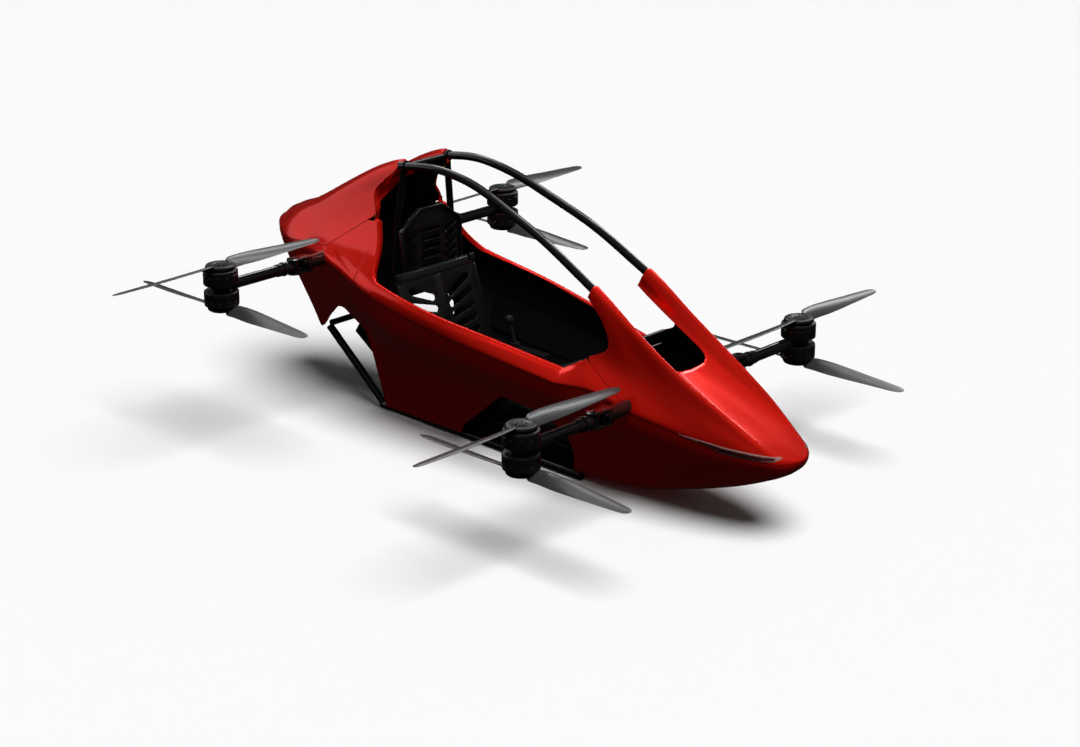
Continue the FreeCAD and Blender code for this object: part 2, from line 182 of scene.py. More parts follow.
def apply_mods(o):
    dg = bpy.context.evaluated_depsgraph_get()
    me = bpy.data.meshes.new_from_object(o.evaluated_get(dg))
    o.modifiers.clear()
    o.data = me
    return o


def shell(o, t=0.005, bevel=0.0012, seg=2, inner=1, angle=50):
    m = o.modifiers.new("thick", "SOLIDIFY")
    m.thickness, m.offset, m.use_even_offset = t, -1.0, False
    m.use_quality_normals = True
    m.material_offset = inner
    m.material_offset_rim = 0
    if bevel:
        b = o.modifiers.new("edge", "BEVEL")
        b.width, b.segments, b.limit_method, b.angle_limit = bevel, seg, "ANGLE", math.radians(angle)
        b.use_clamp_overlap = True
        b.harden_normals = False
    return o


def bevelled(o, w=0.001, seg=2, angle=35):
    b = o.modifiers.new("edge", "BEVEL")
    b.width, b.segments, b.limit_method, b.angle_limit = w, seg, "ANGLE", math.radians(angle)
    return apply_mods(o)


def sharp(o, angle=40):
    """Smooth shading with hard edges kept where faces meet at more than the angle."""
    bm = bmesh.new()
    bm.from_mesh(o.data)
    for e in bm.edges:
        if len(e.link_faces) == 2:
            e.smooth = e.calc_face_angle(0.0) < math.radians(angle)
    bm.to_mesh(o.data)
    bm.free()
    return smooth(o)


# --------------------------------------------------------------- materials
MATS = {}


def material(name, base, rough, metallic=0.0, coat=0.0, coat_rough=0.03, vary=0.12, scale=40.0,
             bump=0.0, bump_scale=300.0, rough_vary=0.0, spec=0.5, dust=0.0, flakes=0.0, aniso=0.0):
    if name in MATS:
        return MATS[name]
    m = bpy.data.materials.new(name)
    m.use_nodes = True
    nt = m.node_tree
    n, l = nt.nodes, nt.links
    p = n["Principled BSDF"]
    tc = n.new("ShaderNodeTexCoord")
    noise = n.new("ShaderNodeTexNoise")
    noise.inputs["Scale"].default_value = scale
    noise.inputs["Detail"].default_value = 4.0
    noise.inputs["Roughness"].default_value = 0.6
    l.new(tc.outputs["Object"], noise.inputs["Vector"])
    ramp = n.new("ShaderNodeValToRGB")
    ramp.color_ramp.elements[0].position = 0.25
    ramp.color_ramp.elements[1].position = 0.75
    ramp.color_ramp.elements[0].color = tuple(max(0.0, c * (1 - vary)) for c in base) + (1,)
    ramp.color_ramp.elements[1].color = tuple(min(1.0, c * (1 + vary)) for c in base) + (1,)
    l.new(noise.outputs["Fac"], ramp.inputs["Fac"])
    colour = ramp.outputs["Color"]
    if flakes:
        vor = n.new("ShaderNodeTexVoronoi")
        vor.inputs["Scale"].default_value = 900.0
        l.new(tc.outputs["Object"], vor.inputs["Vector"])
        mix = n.new("ShaderNodeMix")
        mix.data_type = "RGBA"
        mix.blend_type = "MULTIPLY"
        mix.inputs["Factor"].default_value = flakes
        l.new(colour, mix.inputs["A"])
        l.new(vor.outputs["Color"], mix.inputs["B"])
        colour = mix.outputs["Result"]
    if dust:
        geo = n.new("ShaderNodeNewGeometry")
        pr = n.new("ShaderNodeMapRange")
        pr.inputs["From Min"].default_value = 0.50
        pr.inputs["From Max"].default_value = 0.56
        l.new(geo.outputs["Pointiness"], pr.inputs["Value"])
        mul = n.new("ShaderNodeMath")
        mul.operation = "MULTIPLY"
        mul.inputs[1].default_value = dust
        l.new(pr.outputs["Result"], mul.inputs[0])
        mx = n.new("ShaderNodeMix")
        mx.data_type = "RGBA"
        l.new(mul.outputs["Value"], mx.inputs["Factor"])
        l.new(colour, mx.inputs["A"])
        mx.inputs["B"].default_value = tuple(min(1.0, c * 1.6 + 0.05) for c in base) + (1,)
        colour = mx.outputs["Result"]
    l.new(colour, p.inputs["Base Color"])
    if rough_vary:
        n2 = n.new("ShaderNodeTexNoise")
        n2.inputs["Scale"].default_value = scale * 0.6
        n2.inputs["Detail"].default_value = 5.0
        l.new(tc.outputs["Object"], n2.inputs["Vector"])
        mr = n.new("ShaderNodeMapRange")
        mr.inputs["To Min"].default_value = max(0.02, rough - rough_vary)
        mr.inputs["To Max"].default_value = min(1.0, rough + rough_vary)
        l.new(n2.outputs["Fac"], mr.inputs["Value"])
        l.new(mr.outputs["Result"], p.inputs["Roughness"])
    else:
        p.inputs["Roughness"].default_value = rough
    p.inputs["Metallic"].default_value = metallic
    p.inputs["Coat Weight"].default_value = coat
    p.inputs["Coat Roughness"].default_value = coat_rough
    p.inputs["Specular IOR Level"].default_value = spec
    if bump:
        n3 = n.new("ShaderNodeTexNoise")
        n3.inputs["Scale"].default_value = bump_scale
        n3.inputs["Detail"].default_value = 3.0
        l.new(tc.outputs["Object"], n3.inputs["Vector"])
        b = n.new("ShaderNodeBump")
        b.inputs["Strength"].default_value = bump
        b.inputs["Distance"].default_value = 0.0005
        l.new(n3.outputs["Fac"], b.inputs["Height"])
        l.new(b.outputs["Normal"], p.inputs["Normal"])
    MATS[name] = m
    return m


PAINT = material("hull_paint", (0.98, 0.012, 0.003), 0.25, metallic=0.66, coat=0.62, coat_rough=0.09, vary=0.03, scale=6.0, spec=0.05)
INSIDE = material("shell_inside", (0.006, 0.006, 0.006), 0.75, vary=0.25, scale=60.0, bump=0.4, bump_scale=500, spec=0.15)
TUBE = material("frame_tube", (0.0035, 0.0035, 0.004), 0.30, coat=1.0, coat_rough=0.03, spec=0.1, vary=0.25, scale=30.0, rough_vary=0.06, bump=0.15, bump_scale=700)
COCKPIT = material("cockpit_black", (0.0035, 0.0035, 0.0038), 0.60, vary=0.25, scale=90.0, bump=0.35, bump_scale=900, spec=0.12, rough_vary=0.08)
SEAT = material("seat_shell", (0.006, 0.006, 0.0065), 0.34, coat=1.0, coat_rough=0.10, vary=0.2, scale=70.0, bump=0.3, bump_scale=1200, rough_vary=0.06)
GRIP = material("grip_rubber", (0.010, 0.010, 0.010), 0.55, vary=0.3, scale=120.0, bump=0.6, bump_scale=900)
CLAMP = material("clamp_metal", (0.045, 0.042, 0.042), 0.16, metallic=0.85, coat=0.3, vary=0.2, scale=50.0, rough_vary=0.05, bump=0.1, bump_scale=900)
STEEL = material("bolt_steel", (0.45, 0.45, 0.46), 0.25, metallic=1.0, vary=0.15, scale=80.0, rough_vary=0.06)
ARM = material("arm_tube", (0.004, 0.004, 0.005), 0.24, coat=1.0, coat_rough=0.03, spec=0.15, vary=0.3, scale=40.0, rough_vary=0.04)
MOTOR = material("motor_black", (0.004, 0.0042, 0.005), 0.36, vary=0.25, scale=60.0, rough_vary=0.06, bump=0.15, bump_scale=900, coat=0.15, coat_rough=0.3)
BLADE = material("blade_carbon", (0.045, 0.047, 0.050), 0.40, metallic=0.30, coat=0.7, coat_rough=0.28, vary=0.12, scale=14.0, rough_vary=0.03)
LAMP = material("light_strip", (0.30, 0.16, 0.15), 0.12, coat=1.0, vary=0.15, scale=60.0, bump=0.1, bump_scale=400)


GLASS = material("lamp_glass", (0.055, 0.006, 0.005), 0.10, coat=1.0, vary=0.2, scale=80.0, bump=0.1, bump_scale=500)


def wear(o, *mats):
    o.data.materials.clear()
    for m in mats:
        o.data.materials.append(m)
    return o


def piece(o, body, replaces=()):
    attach(o, body)
    if replaces:
        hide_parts(*([replaces] if isinstance(replaces, str) else replaces))
    return o


# ------------------------------------------------------------- hull sections
# y: hood middle z, valley edge, fin face, nine outer points, belly z
NOSE = {
    0:   (-9, (0, -9), (0, -9), [(0, -9)] * 9, -9),
    40:  (13, (40, 10), (58, 9), [(66, 9), (73, 6), (79, 0), (83, -6), (84, -13), (82, -25), (75, -38), (62, -52), (42, -62)], -67),
    110: (41, (66, 41), (84, 43), [(94, 45), (102, 40), (110, 28), (118, 13), (121, 1), (118, -22), (105, -48), (82, -77), (52, -99)], -105),
    250: (97, (84, 100), (108, 115), [(120, 127), (129, 123), (141, 94), (157, 56), (165, 20), (158, -22), (136, -68), (102, -118), (66, -156)], -163),
    420: (166, (92, 178), (118, 204), [(135, 219), (146, 214), (160, 164), (180, 105), (202, 52), (195, 0), (166, -68), (124, -150), (84, -208)], -216),
    600: (240, (98, 268), (120, 302), [(136, 324), (150, 319), (164, 250), (189, 165), (235, 88), (226, 25), (190, -62), (142, -172), (102, -254)], -262),
    760: (300, (102, 352), (116, 400), [(130, 425), (150, 424), (164, 392), (190, 222), (258, 126), (246, 45), (204, -50), (154, -180), (118, -268)], -277),
    850: (330, (104, 404), (111, 450), [(126, 475), (147, 474), (159, 448), (193, 245), (268, 118), (254, 45), (208, -45), (158, -175), (124, -270)], -278),
    960: (350, (100, 454), (105, 500), [(120, 527), (141, 526), (154, 498), (196, 260), (280, 120), (262, 45), (214, -42), (164, -170), (132, -271)], -278),
}
FIN_EDGE = [(797, 452), (818, 402), (782, 380), (754, 360), (728, 326), (712, 297), (704, 272), (705, 254), (716, 240)]
SEAM_FRONT = [(786, 209), (604, 108), (604, 66), (948, -66)]
NOSE_REAR = [(892, -117), (884, -165), (886, -225), (905, -265), (935, -300)]
CUT_FRONT = [(948, -66), (1000, -42), (1090, -33), (1172, -28), (1196, -42), (1432, -226), (1456, -262), (1457, -300)]
SIDE = {
    560:  [(160, 262), (172, 215), (190, 165), (230, 90), (220, 30), (186, -60), (140, -168), (104, -252)],
    760:  [(172, 224), (192, 212), (222, 178), (258, 126), (246, 45), (204, -50), (154, -180), (118, -268)],
    900:  [(212, 160), (230, 156), (252, 140), (273, 116), (256, 45), (210, -44), (160, -172), (128, -270)],
    1165: [(250, 199), (268, 197), (287, 182), (300, 152), (280, 70), (225, -32), (177, -165), (146, -268)],
    1430: [(289, 233), (301, 229), (311, 211), (314, 182), (292, 90), (232, -20), (186, -155), (153, -266)],
    1700: [(282, 276), (298, 270), (309, 250), (314, 222), (296, 118), (238, 4), (190, -140), (156, -268)],
}
AFT = {
    1700: [(88, 708), (106, 722), (126, 700), (148, 610), (184, 480), (238, 362), (298, 270), (309, 250), (314, 222), (296, 118), (238, 4), (190, -140), (156, -268)],
    1800: [(90, 698), (108, 709), (128, 688), (147, 600), (180, 478), (228, 370), (288, 290), (303, 268), (308, 240), (288, 140), (234, 20), (186, -130), (155, -268)],
    1900: [(93, 662), (111, 673), (131, 652), (149, 572), (177, 470), (217, 376), (270, 306), (286, 286), (292, 260), (274, 165), (228, 45), (182, -110), (154, -268)],
    2000: [(95, 613), (113, 624), (133, 603), (151, 535), (175, 450), (208, 375), (247, 320), (262, 302), (268, 278), (254, 190), (222, 75), (178, -80), (152, -250)],
    2110: [(96, 553), (114, 564), (134, 543), (152, 488), (172, 425), (196, 368), (224, 330), (237, 314), (243, 292), (236, 212), (210, 105), (174, -30), (150, -160)],
    2250: [(96, 477), (114, 487), (134, 466), (151, 426), (167, 385), (183, 350), (198, 325), (206, 308), (209, 288), (206, 220), (188, 130), (164, 30), (148, -70)],
    2400: [(92, 412), (108, 418), (128, 402), (142, 382), (153, 362), (163, 342), (171, 325), (176, 310), (178, 296), (176, 256), (166, 210), (150, 150), (138, 100)],
    2500: [(84, 362), (98, 366), (114, 358), (124, 350), (131, 342), (136, 334), (139, 326), (141, 318), (142, 310), (140, 298), (136, 288), (130, 278), (124, 268)],
}
LEAD_EDGE = [(1752, 279), (1788, 309), (1806, 353), (1826, 411), (1850, 460), (1878, 529)]
LEAD_TOP = [(1876, 492), (1886, 520), (1904, 556), (1902, 582), (1882, 606), (1844, 638), (1809, 664), (1788, 690), (1782, 716)]
SEAM_REAR = [(1866, 500), (2110, 342), (2560, 276)]
TAIL_EDGE = [(2228, -30), (2278, 68), (2338, 172), (2420, 274), (2440, 294), (2490, 345), (2503, 368)]
CUT_REAR = [(1868, -300), (1862, -190), (1853, -100), (1847, -40), (1845, -4), (1852, 27), (1912, 75), (1990, 114), (2012, 119), (2040, 114), (2064, 101), (2140, 44), (2200, -12), (2228, -30)]


def rounded(pts, r, n=5):
    """A polyline with its corners rounded."""
    p = [np.array(q, float) for q in pts]
    out = [p[0]]
    for a, b, c in zip(p[:-2], p[1:-1], p[2:]):
        ra = min(r, 0.45 * np.linalg.norm(a - b), 0.45 * np.linalg.norm(c - b))
        s = b + (a - b) / np.linalg.norm(a - b) * ra
        e = b + (c - b) / np.linalg.norm(c - b) * ra
        for t in np.linspace(0, 1, n):
            out.append((1 - t) ** 2 * s + 2 * t * (1 - t) * b + t * t * e)
    out.append(p[-1])
    return np.array(out)


def normals(P):
    """Unit normals of a point grid, dP/di x dP/dj."""
    a = np.gradient(P, axis=0)
    b = np.gradient(P, axis=1)
    n = np.cross(a, b)
    return n / np.maximum(np.linalg.norm(n, axis=2, keepdims=True), 1e-12)


# -------------------------------------------------------------------- nose
def nose_rows():
    ys = sorted(NOSE)
    rows = []
    for y in ys:
        hood, edge, fin, outer, belly = NOSE[y]
        k4, k5 = np.array(outer[4]), np.array(outer[5])
        extra = k4 + (k5 - k4) * 0.22
        half = [(0.0, hood), edge, fin] + list(outer[:5]) + [tuple(extra)] + list(outer[5:]) + [(0.0, belly)]
        rows.append(half)
    return ys, rows


ys, rows = nose_rows()
nose_sheet = Sheet(ys, rows, power=0.6)
K = nose_sheet.k
# rows of the grid: how many between neighbouring section points
NOSE_STEPS = [14, 8, 6, 6, 6, 8, 9, 5, 6, 8, 9, 9, 8, 10]
ss = [K[0]]
for a, b, n in zip(K[:-1], K[1:], NOSE_STEPS[:len(K) - 1]):
    ss += list(np.linspace(a, b, n + 1)[1:])
ss = np.array(ss)

trim_line = np.concatenate([rounded(FIN_EDGE + [SEAM_FRONT[0]], 14)[:-1], np.array(SEAM_FRONT, float), rounded([SEAM_FRONT[-1]] + NOSE_REAR, 16)[1:]])


def nose_end(s):
    """y at which the row s ends."""
    if s <= K[3]:                       # fin's inner face and crest end at the sleeve mouth
        yy = np.linspace(600, 900, 601)
        zz = nose_sheet.at(yy, np.full(yy.shape, s))[:, 2]
        g = zz - (452 - (yy - 797) * 50.0 / 21.0)
        i = np.argmax(g > 0)
        return yy[i - 1] + (yy[i] - yy[i - 1]) * (-g[i - 1]) / (g[i] - g[i - 1])
    yy = np.linspace(530, 1000, 941)
    zz = nose_sheet.at(yy, np.full(yy.shape, s))[:, 2]
    best = 1e9
    for (y0, z0), (y1, z1) in zip(trim_line[:-1], trim_line[1:]):
        lo, hi = min(y0, y1), max(y0, y1)
        # crossing of the row with this piece of the trim line
        f = (yy - y0) * (z1 - z0) - (zz - z0) * (y1 - y0)
        idx = np.nonzero(np.signbit(f[:-1]) != np.signbit(f[1:]))[0]
        for i in idx:
            t = f[i] / (f[i] - f[i + 1])
            yc, zc = lerp(yy[i], yy[i + 1], t), lerp(zz[i], zz[i + 1], t)
            L2 = (y1 - y0) ** 2 + (z1 - z0) ** 2
            w = ((yc - y0) * (y1 - y0) + (zc - z0) * (z1 - z0)) / max(L2, 1e-9)
            if -0.003 <= w <= 1.003:
                best = min(best, yc)
    return best if best < 1e8 else 935.0


def mouth(s):
    t = np.clip((s / K[1] - 0.50) / 0.50, 0, 1)
    return 480 + 45 * (1 - np.sqrt(np.maximum(0.0, 1 - t * t)))


ends = np.array([nose_end(s) for s in ss])
J1, J2 = 66, 46
uu = np.linspace(0, 1, J1 + 1)
ww = np.linspace(0, 1, J2 + 1)[1:]
NP_ = np.empty((len(ss), J1 + J2 + 1, 3))
for i, s in enumerate(ss):
    m1 = mouth(s) if s < K[1] else 525.0
    y1 = m1 * uu ** (1 / 0.6)
    y2 = m1 + (ends[i] - m1) * ww
    NP_[i] = nose_sheet.at(np.r_[y1, y2], np.full(J1 + J2 + 1, s))
keep = np.ones((len(ss) - 1, J1 + J2), bool)
hood_rows = np.searchsorted(ss, K[1] - 1e-9)
keep[:hood_rows, J1:] = False
P = W(NP_)
nose = build("hull_nose", [(P, keep, True), (mirrored(P), keep, False)])
wear(nose, PAINT, INSIDE)
shell(nose, 0.0045, 0.0014)
piece(nose, ROOT, "nose_shell")

# -------------------------------------------------------------- side panel
def extended(pts):
    """Carries the upper side of a cockpit section on upwards, where no skin is."""
    k1, k2, k3 = (np.array(p, float) for p in pts[:3])
    d = (k2 - k3) / np.linalg.norm(k2 - k3)
    up = [k2 + d * 240, k2 + d * 110]
    return [tuple(q) for q in up] + list(pts[1:])


def with_crease(pts, at, t=0.12, tight=0.0):
    """Adds a point just under the elbow, and may pull the one above nearer."""
    p = [np.array(q, float) for q in pts]
    p[at - 1] = p[at - 1] + (p[at] - p[at - 1]) * tight
    p.insert(at + 1, p[at] + (p[at + 1] - p[at]) * t)
    return [tuple(q) for q in p]


hump_rows = {}
for y, pts in AFT.items():
    c0 = pts[0]
    hump_rows[y] = [(c0[0] - 4, c0[1] - 26), (c0[0] - 2, c0[1] - 7), (pts[1][0] - 3, pts[1][1])] + [(pts[1][0] + 9, pts[1][1] - 6)] + list(pts[2:10])
hump_sheet = Sheet(sorted(hump_rows), [hump_rows[y] for y in sorted(hump_rows)])
H = hump_sheet.k

side_rows = {}


def between(y0, y1, y):
    t = (y - y0) / (y1 - y0)
    return [tuple(lerp(np.array(a, float), np.array(b, float), t)) for a, b in zip(SIDE[y0], SIDE[y1])]


SIDE_FINE = {(870 if y == 900 else y): q for y, q in SIDE.items()}
SIDE[870] = SIDE[900]
for y0, y1, y in ((760, 870, 790), (760, 870, 830), (760, 870, 856), (870, 1165, 888), (870, 1165, 930), (870, 1165, 1030)):
    SIDE_FINE[y] = between(y0, y1, y)
for y, pts in SIDE_FINE.items():
    if y < 1700:
        side_rows[y] = with_crease(extended(pts), 4, 0.14, 0.0 if y < 1400 else 0.1)
for y, pts in AFT.items():
    f = min(1.0, (y - 1600) / 250.0)
    side_rows[y] = with_crease(pts[4:], 4, 0.10, 0.30 * f)
side_sheet = Sheet(sorted(side_rows), [side_rows[y] for y in sorted(side_rows)])
S = side_sheet.k            # 0 c4, 1 c5, 2 k2, 3 k3, 4 elbow, 5 crease, 6 k5, 7 k6, 8 k7, 9 k8
GAP = 2.2                   # width of a panel seam
ROLL_R = 9.0

tail_y = [q[0] for q in TAIL_EDGE]
Y_TIP = 2440.0
cols = np.unique(np.round(np.concatenate([
    np.linspace(604 + GAP, 786, 30), np.linspace(786, 1440, 88), np.linspace(1440, 1470, 12), np.linspace(1470, 1740, 32),
    np.linspace(1740, 1830, 30), np.linspace(1830, 1900, 24), np.linspace(1900, 2240, 60), np.linspace(2240, Y_TIP - 1, 26)]), 3))
lead = rounded([(1700, 268)] + LEAD_EDGE + [(1886, 560)], 16)


def side_top(y):
    """Height of the skin's upper edge, before its rolled lip."""
    z = np.empty(len(y))
    for j, yy in enumerate(y):
        if yy <= 786 + GAP:
            z[j] = polyline_x([(604, 108), (786, 209)], yy) - GAP * 0.5
        elif yy < 1752 + ROLL_R:
            z[j] = np.nan
        elif yy < 1869 + ROLL_R:
            z[j] = np.interp(yy - ROLL_R, lead[:, 0], lead[:, 1])
        else:
            z[j] = polyline_x(SEAM_REAR, yy) - GAP * 0.5
    return z


zt = side_top(cols)
st = np.empty(len(cols))
for j, (yy, z) in enumerate(zip(cols, zt)):
    if np.isnan(z):
        st[j] = S[2]
    else:
        lo = S[2] - 1.0 if yy < 1752 + ROLL_R else S[0]
        st[j] = min(side_sheet.s_of_z([yy], [z], lo, S[9])[0], 1e9)
# the rim's height runs on smoothly into the leading edge
a = np.searchsorted(cols, 1700.0)
b = np.searchsorted(cols, 1800.0)
for _ in range(12):
    st[a:b] = (st[a - 1:b - 1] + 2 * st[a:b] + st[a + 1:b + 1]) / 4
bottom = np.concatenate([rounded([(604, 66), (948, -66)], 1), rounded(CUT_FRONT, 18)[1:-1]])
rear_cut = rounded([q for q in CUT_REAR if q[0] > 1850 or q[1] > 0] + TAIL_EDGE[1:], 14)
zb = np.empty(len(cols))
for j, yy in enumerate(cols):
    if yy < 948:
        zb[j] = polyline_x([(604, 66), (948, -66)], yy) + GAP * 0.5
    elif yy < 1457:
        zb[j] = np.interp(yy, bottom[:, 0], bottom[:, 1])
    elif yy < 1868:
        zb[j] = -1e3
    else:
        zb[j] = np.interp(yy, rear_cut[:, 0], rear_cut[:, 1])
sb = np.array([S[9] if z < -280 else side_sheet.s_of_z([yy], [z], st[j], S[9])[0] for j, (yy, z) in enumerate(zip(cols, zb))])
sb = np.maximum(sb, st + 0.02)
NV = 84
vv = np.linspace(0, 1, NV)
SP = np.empty((NV, len(cols), 3))
for i, v in enumerate(vv):
    SP[i] = side_sheet.at(cols, lerp(st, sb, v))


def seam_distance(y, z, line):
    best = np.full(np.shape(y), 1e9)
    for (ya, za), (yb, zb_) in zip(line[:-1], line[1:]):
        L2 = (yb - ya) ** 2 + (zb_ - za) ** 2
        t = np.clip(((y - ya) * (yb - ya) + (z - za) * (zb_ - za)) / L2, 0, 1)
        best = np.minimum(best, np.hypot(y - ya - t * (yb - ya), z - za - t * (zb_ - za)))
    return best


def ease(t):
    t = np.clip(t, 0, 1)
    return t * t * (3 - 2 * t)


def x_on(sheet, y, z, lo, hi, n=200):
    """x of a sheet at one y for many z."""
    c = sheet.at(np.full(n, y), np.linspace(lo, hi, n))
    zz = np.minimum.accumulate(c[:, 2])
    return np.interp(-np.asarray(z), -zz, c[:, 0])


for j, yy in enumerate(cols):
    if yy < 955:
        z = SP[:, j, 2]
        w = ease(1 - seam_distance(np.full(NV, yy), z, SEAM_FRONT) / 70.0) * (z < 215) * float(ease((955 - yy) / 30.0))
        SP[:, j, 0] = lerp(SP[:, j, 0], x_on(nose_sheet, yy, z, K[3], K[-1]), w)


def swell(y, z):
    """Where the hull is raised over the rear arm's root."""
    d2 = ((y - 2106) / 105) ** 2 + ((z - 322) / 60) ** 2
    return 7.0 * np.exp(-d2)


for j, yy in enumerate(cols):
    if yy > 1786:
        z = SP[:, j, 2]
        w = ease(1 - seam_distance(np.full(NV, yy), z, [(1700, 607.5)] + SEAM_REAR) / 95.0) * float(ease((yy - 1786) / 90.0))
        SP[:, j, 0] = lerp(SP[:, j, 0], x_on(hump_sheet, yy, z, H[2], H[-1]), w)
SP[..., 0] += swell(SP[..., 1], SP[..., 2])
# rolled lip along the cockpit rim and the leading edge
n = normals(SP)
n = np.where(n[..., :1] < 0, -n, n)
edge_dir = SP[0] - SP[1]
edge_dir /= np.linalg.norm(edge_dir, axis=1, keepdims=True)
tan = np.gradient(SP[0], axis=0)
tan /= np.linalg.norm(tan, axis=1, keepdims=True)
edge_dir -= tan * (edge_dir * tan).sum(1, keepdims=True)
edge_dir /= np.linalg.norm(edge_dir, axis=1, keepdims=True)
nn = n[1]
nn = nn - tan * (nn * tan).sum(1, keepdims=True)
nn /= np.linalg.norm(nn, axis=1, keepdims=True)
wide = np.interp(cols, [786, 1500, 1752, 1800, 1878], [3, 5, 9, 12, 12])
lip = []
for th in np.linspace(100, 10, 8):
    t = math.radians(th)
    lip.append(SP[0] + ROLL_R * (math.sin(t) * edge_dir - (1 - math.cos(t)) * nn))
last = lip[0]
rr = math.radians(100)
flat_dir = edge_dir * math.cos(rr) - nn * math.sin(rr)
lip = [last + flat_dir * wide[:, None], last + flat_dir * wide[:, None] * 0.5] + lip
lip = np.array(lip + [SP[0]])
on_lip = (cols[:-1] > 786 + GAP - 0.5) & (cols[1:] < 1878.5)
keep_lip = np.repeat(on_lip[None], len(lip) - 1, axis=0)
L1, P1 = W(lip), W(SP)
for side, flip in (("left", True), ("right", False)):
    f = (lambda q: q) if side == "left" else mirrored
    o = build("hull_side_" + side, [(f(L1), keep_lip, flip), (f(P1), None, flip)])
    wear(o, PAINT, INSIDE)
    shell(o, 0.0045, 0.0012)
    piece(o, ROOT, "side_panel_" + side)

# ------------------------------------------------------------- rear humps
edge_line = np.array(rounded(LEAD_TOP[::-1] + [(1862, 455), (1842, 430)], 16))
# march down the front edge: (y, z) -> s and the share v of the way to the seam
fy, fz = [], []
for a_, b_ in zip(edge_line[:-1], edge_line[1:]):
    for t in np.linspace(0, 1, 6)[:-1]:
        q = lerp(a_, b_, t)
        fy.append(q[0]); fz.append(q[1])
fy, fz = np.array(fy), np.array(fz)
zs = np.interp(fy, [1700, 1866, 2110, 2560], [607.5, 500, 342, 276])
ok = fz > zs + GAP * 0.5
fy, fz, zs = fy[ok], fz[ok], zs[ok]
fs = hump_sheet.s_of_z(fy, fz, H[2], H[-1])
fseam = hump_sheet.s_of_z(fy, zs + GAP * 0.5, H[2], H[-1])
fv = (fs - H[2]) / (fseam - H[2])
order = np.argsort(fv)
fv, fy = np.maximum.accumulate(fv[order]), fy[order]
fv, fy = np.r_[np.minimum(fv, 0.995), 1.0], np.r_[fy, 1876.5]
ty, tz = np.array([2440.0, 2462, 2490, 2501, 2503]), np.array([295.0, 318, 345, 361, 372])
ts_ = hump_sheet.s_of_z(ty, tz, H[2], H[-1])
tseam = hump_sheet.s_of_z(ty, np.interp(ty, [2110, 2560], [342, 276]) + GAP * 0.5, H[2], H[-1])
tv = np.clip((ts_ - H[2]) / (tseam - H[2]), 0, 1)
NR, NC = 56, 96
rows_v = np.r_[np.linspace(-1, 0, 12)[:-1], np.linspace(0, 1, NR)]
HP = np.empty((len(rows_v), NC, 3))
for i, v in enumerate(rows_v):
    vp = max(v, 0.0)
    y0 = np.interp(vp, fv, fy)
    y1 = np.interp(-vp, -tv, ty)
    if i == 0 or v < 0:
        y0, y1 = 1783.0, 2503.0
    yy = y0 + (y1 - y0) * np.linspace(0, 1, NC) ** 1.15
    if v < 0:
        s = lerp(H[2], H[0], -v) * np.ones(NC)
    else:
        zz = np.interp(yy, [1700, 1866, 2110, 2560], [607.5, 500, 342, 276]) + GAP * 0.5
        sm = hump_sheet.s_of_z(yy, zz, H[2], H[-1], 90)
        s = lerp(H[2], sm, v)
    HP[i] = hump_sheet.at(yy, s)
HP[..., 0] += swell(HP[..., 1], HP[..., 2])
# flange from the front edge in to the opening's inner edge
front = HP[11:, 0]
INNER = [(100, 1772, 690), (88, 1751, 669), (96, 1792, 638), (105, 1821, 614), (125, 1856, 573), (146, 1880, 535), (153, 1873, 520), (158, 1866, 500)]
tin = np.array([0.0, 0.10, 0.28, 0.42, 0.62, 0.80, 0.90, 1.0])
cum = np.r_[0, np.cumsum(np.linalg.norm(np.diff(front, axis=0), axis=1))]
cum /= cum[-1]
inner = curve(tin, np.array(INNER, float), cum)
FL = []
fn = normals(HP)[11:, 0]
fn = np.where(fn[:, :1] < 0, -fn, fn)
ahead = front - HP[11:, 1]
ahead /= np.linalg.norm(ahead, axis=1, keepdims=True)
for t in np.linspace(0, 1, 12):
    bulge = math.sin(math.pi * min(1.0, t * 1.0))
    q = lerp(front, inner, t) + ahead * (7.0 * math.sin(math.pi * min(1, t * 2.2)) * (1 if t < 0.4545 else 0)) - fn * 3.0 * bulge
    FL.append(q)
FL = np.array(FL)
je = int(np.argmin(np.abs(cols - 1877.5)))
prof = lip[::-1, je] + np.array([0, -0.5, GAP])
pc = np.r_[0, np.cumsum(np.linalg.norm(np.diff(prof, axis=0), axis=1))]
prof = np.stack([np.interp(np.linspace(0, pc[-1], 12), pc, prof[:, k]) for k in range(3)], axis=1)
for k in range(5):
    w = ease(1 - k / 5.0)
    target = prof + (front[-1 - k] - front[-1])
    FL[1:, -1 - k] = lerp(FL[1:, -1 - k], target[1:], w)
under = FL[:, -1:] + np.array([-1.5, 2.5, -9.0])
FL = np.concatenate([FL, FL[:, -1:] * 0.5 + under * 0.5, under], axis=1)
P2, P3 = W(HP), W(FL)
for side, flip in (("left", True), ("right", False)):
    f = (lambda q: q) if side == "left" else mirrored
    o = build("hull_hump_" + side, [(f(P2), None, flip), (f(P3), None, flip)])
    wear(o, PAINT, INSIDE)
    shell(o, 0.004, 0.0012)
    piece(o, ROOT, "tail_hump_" + side)

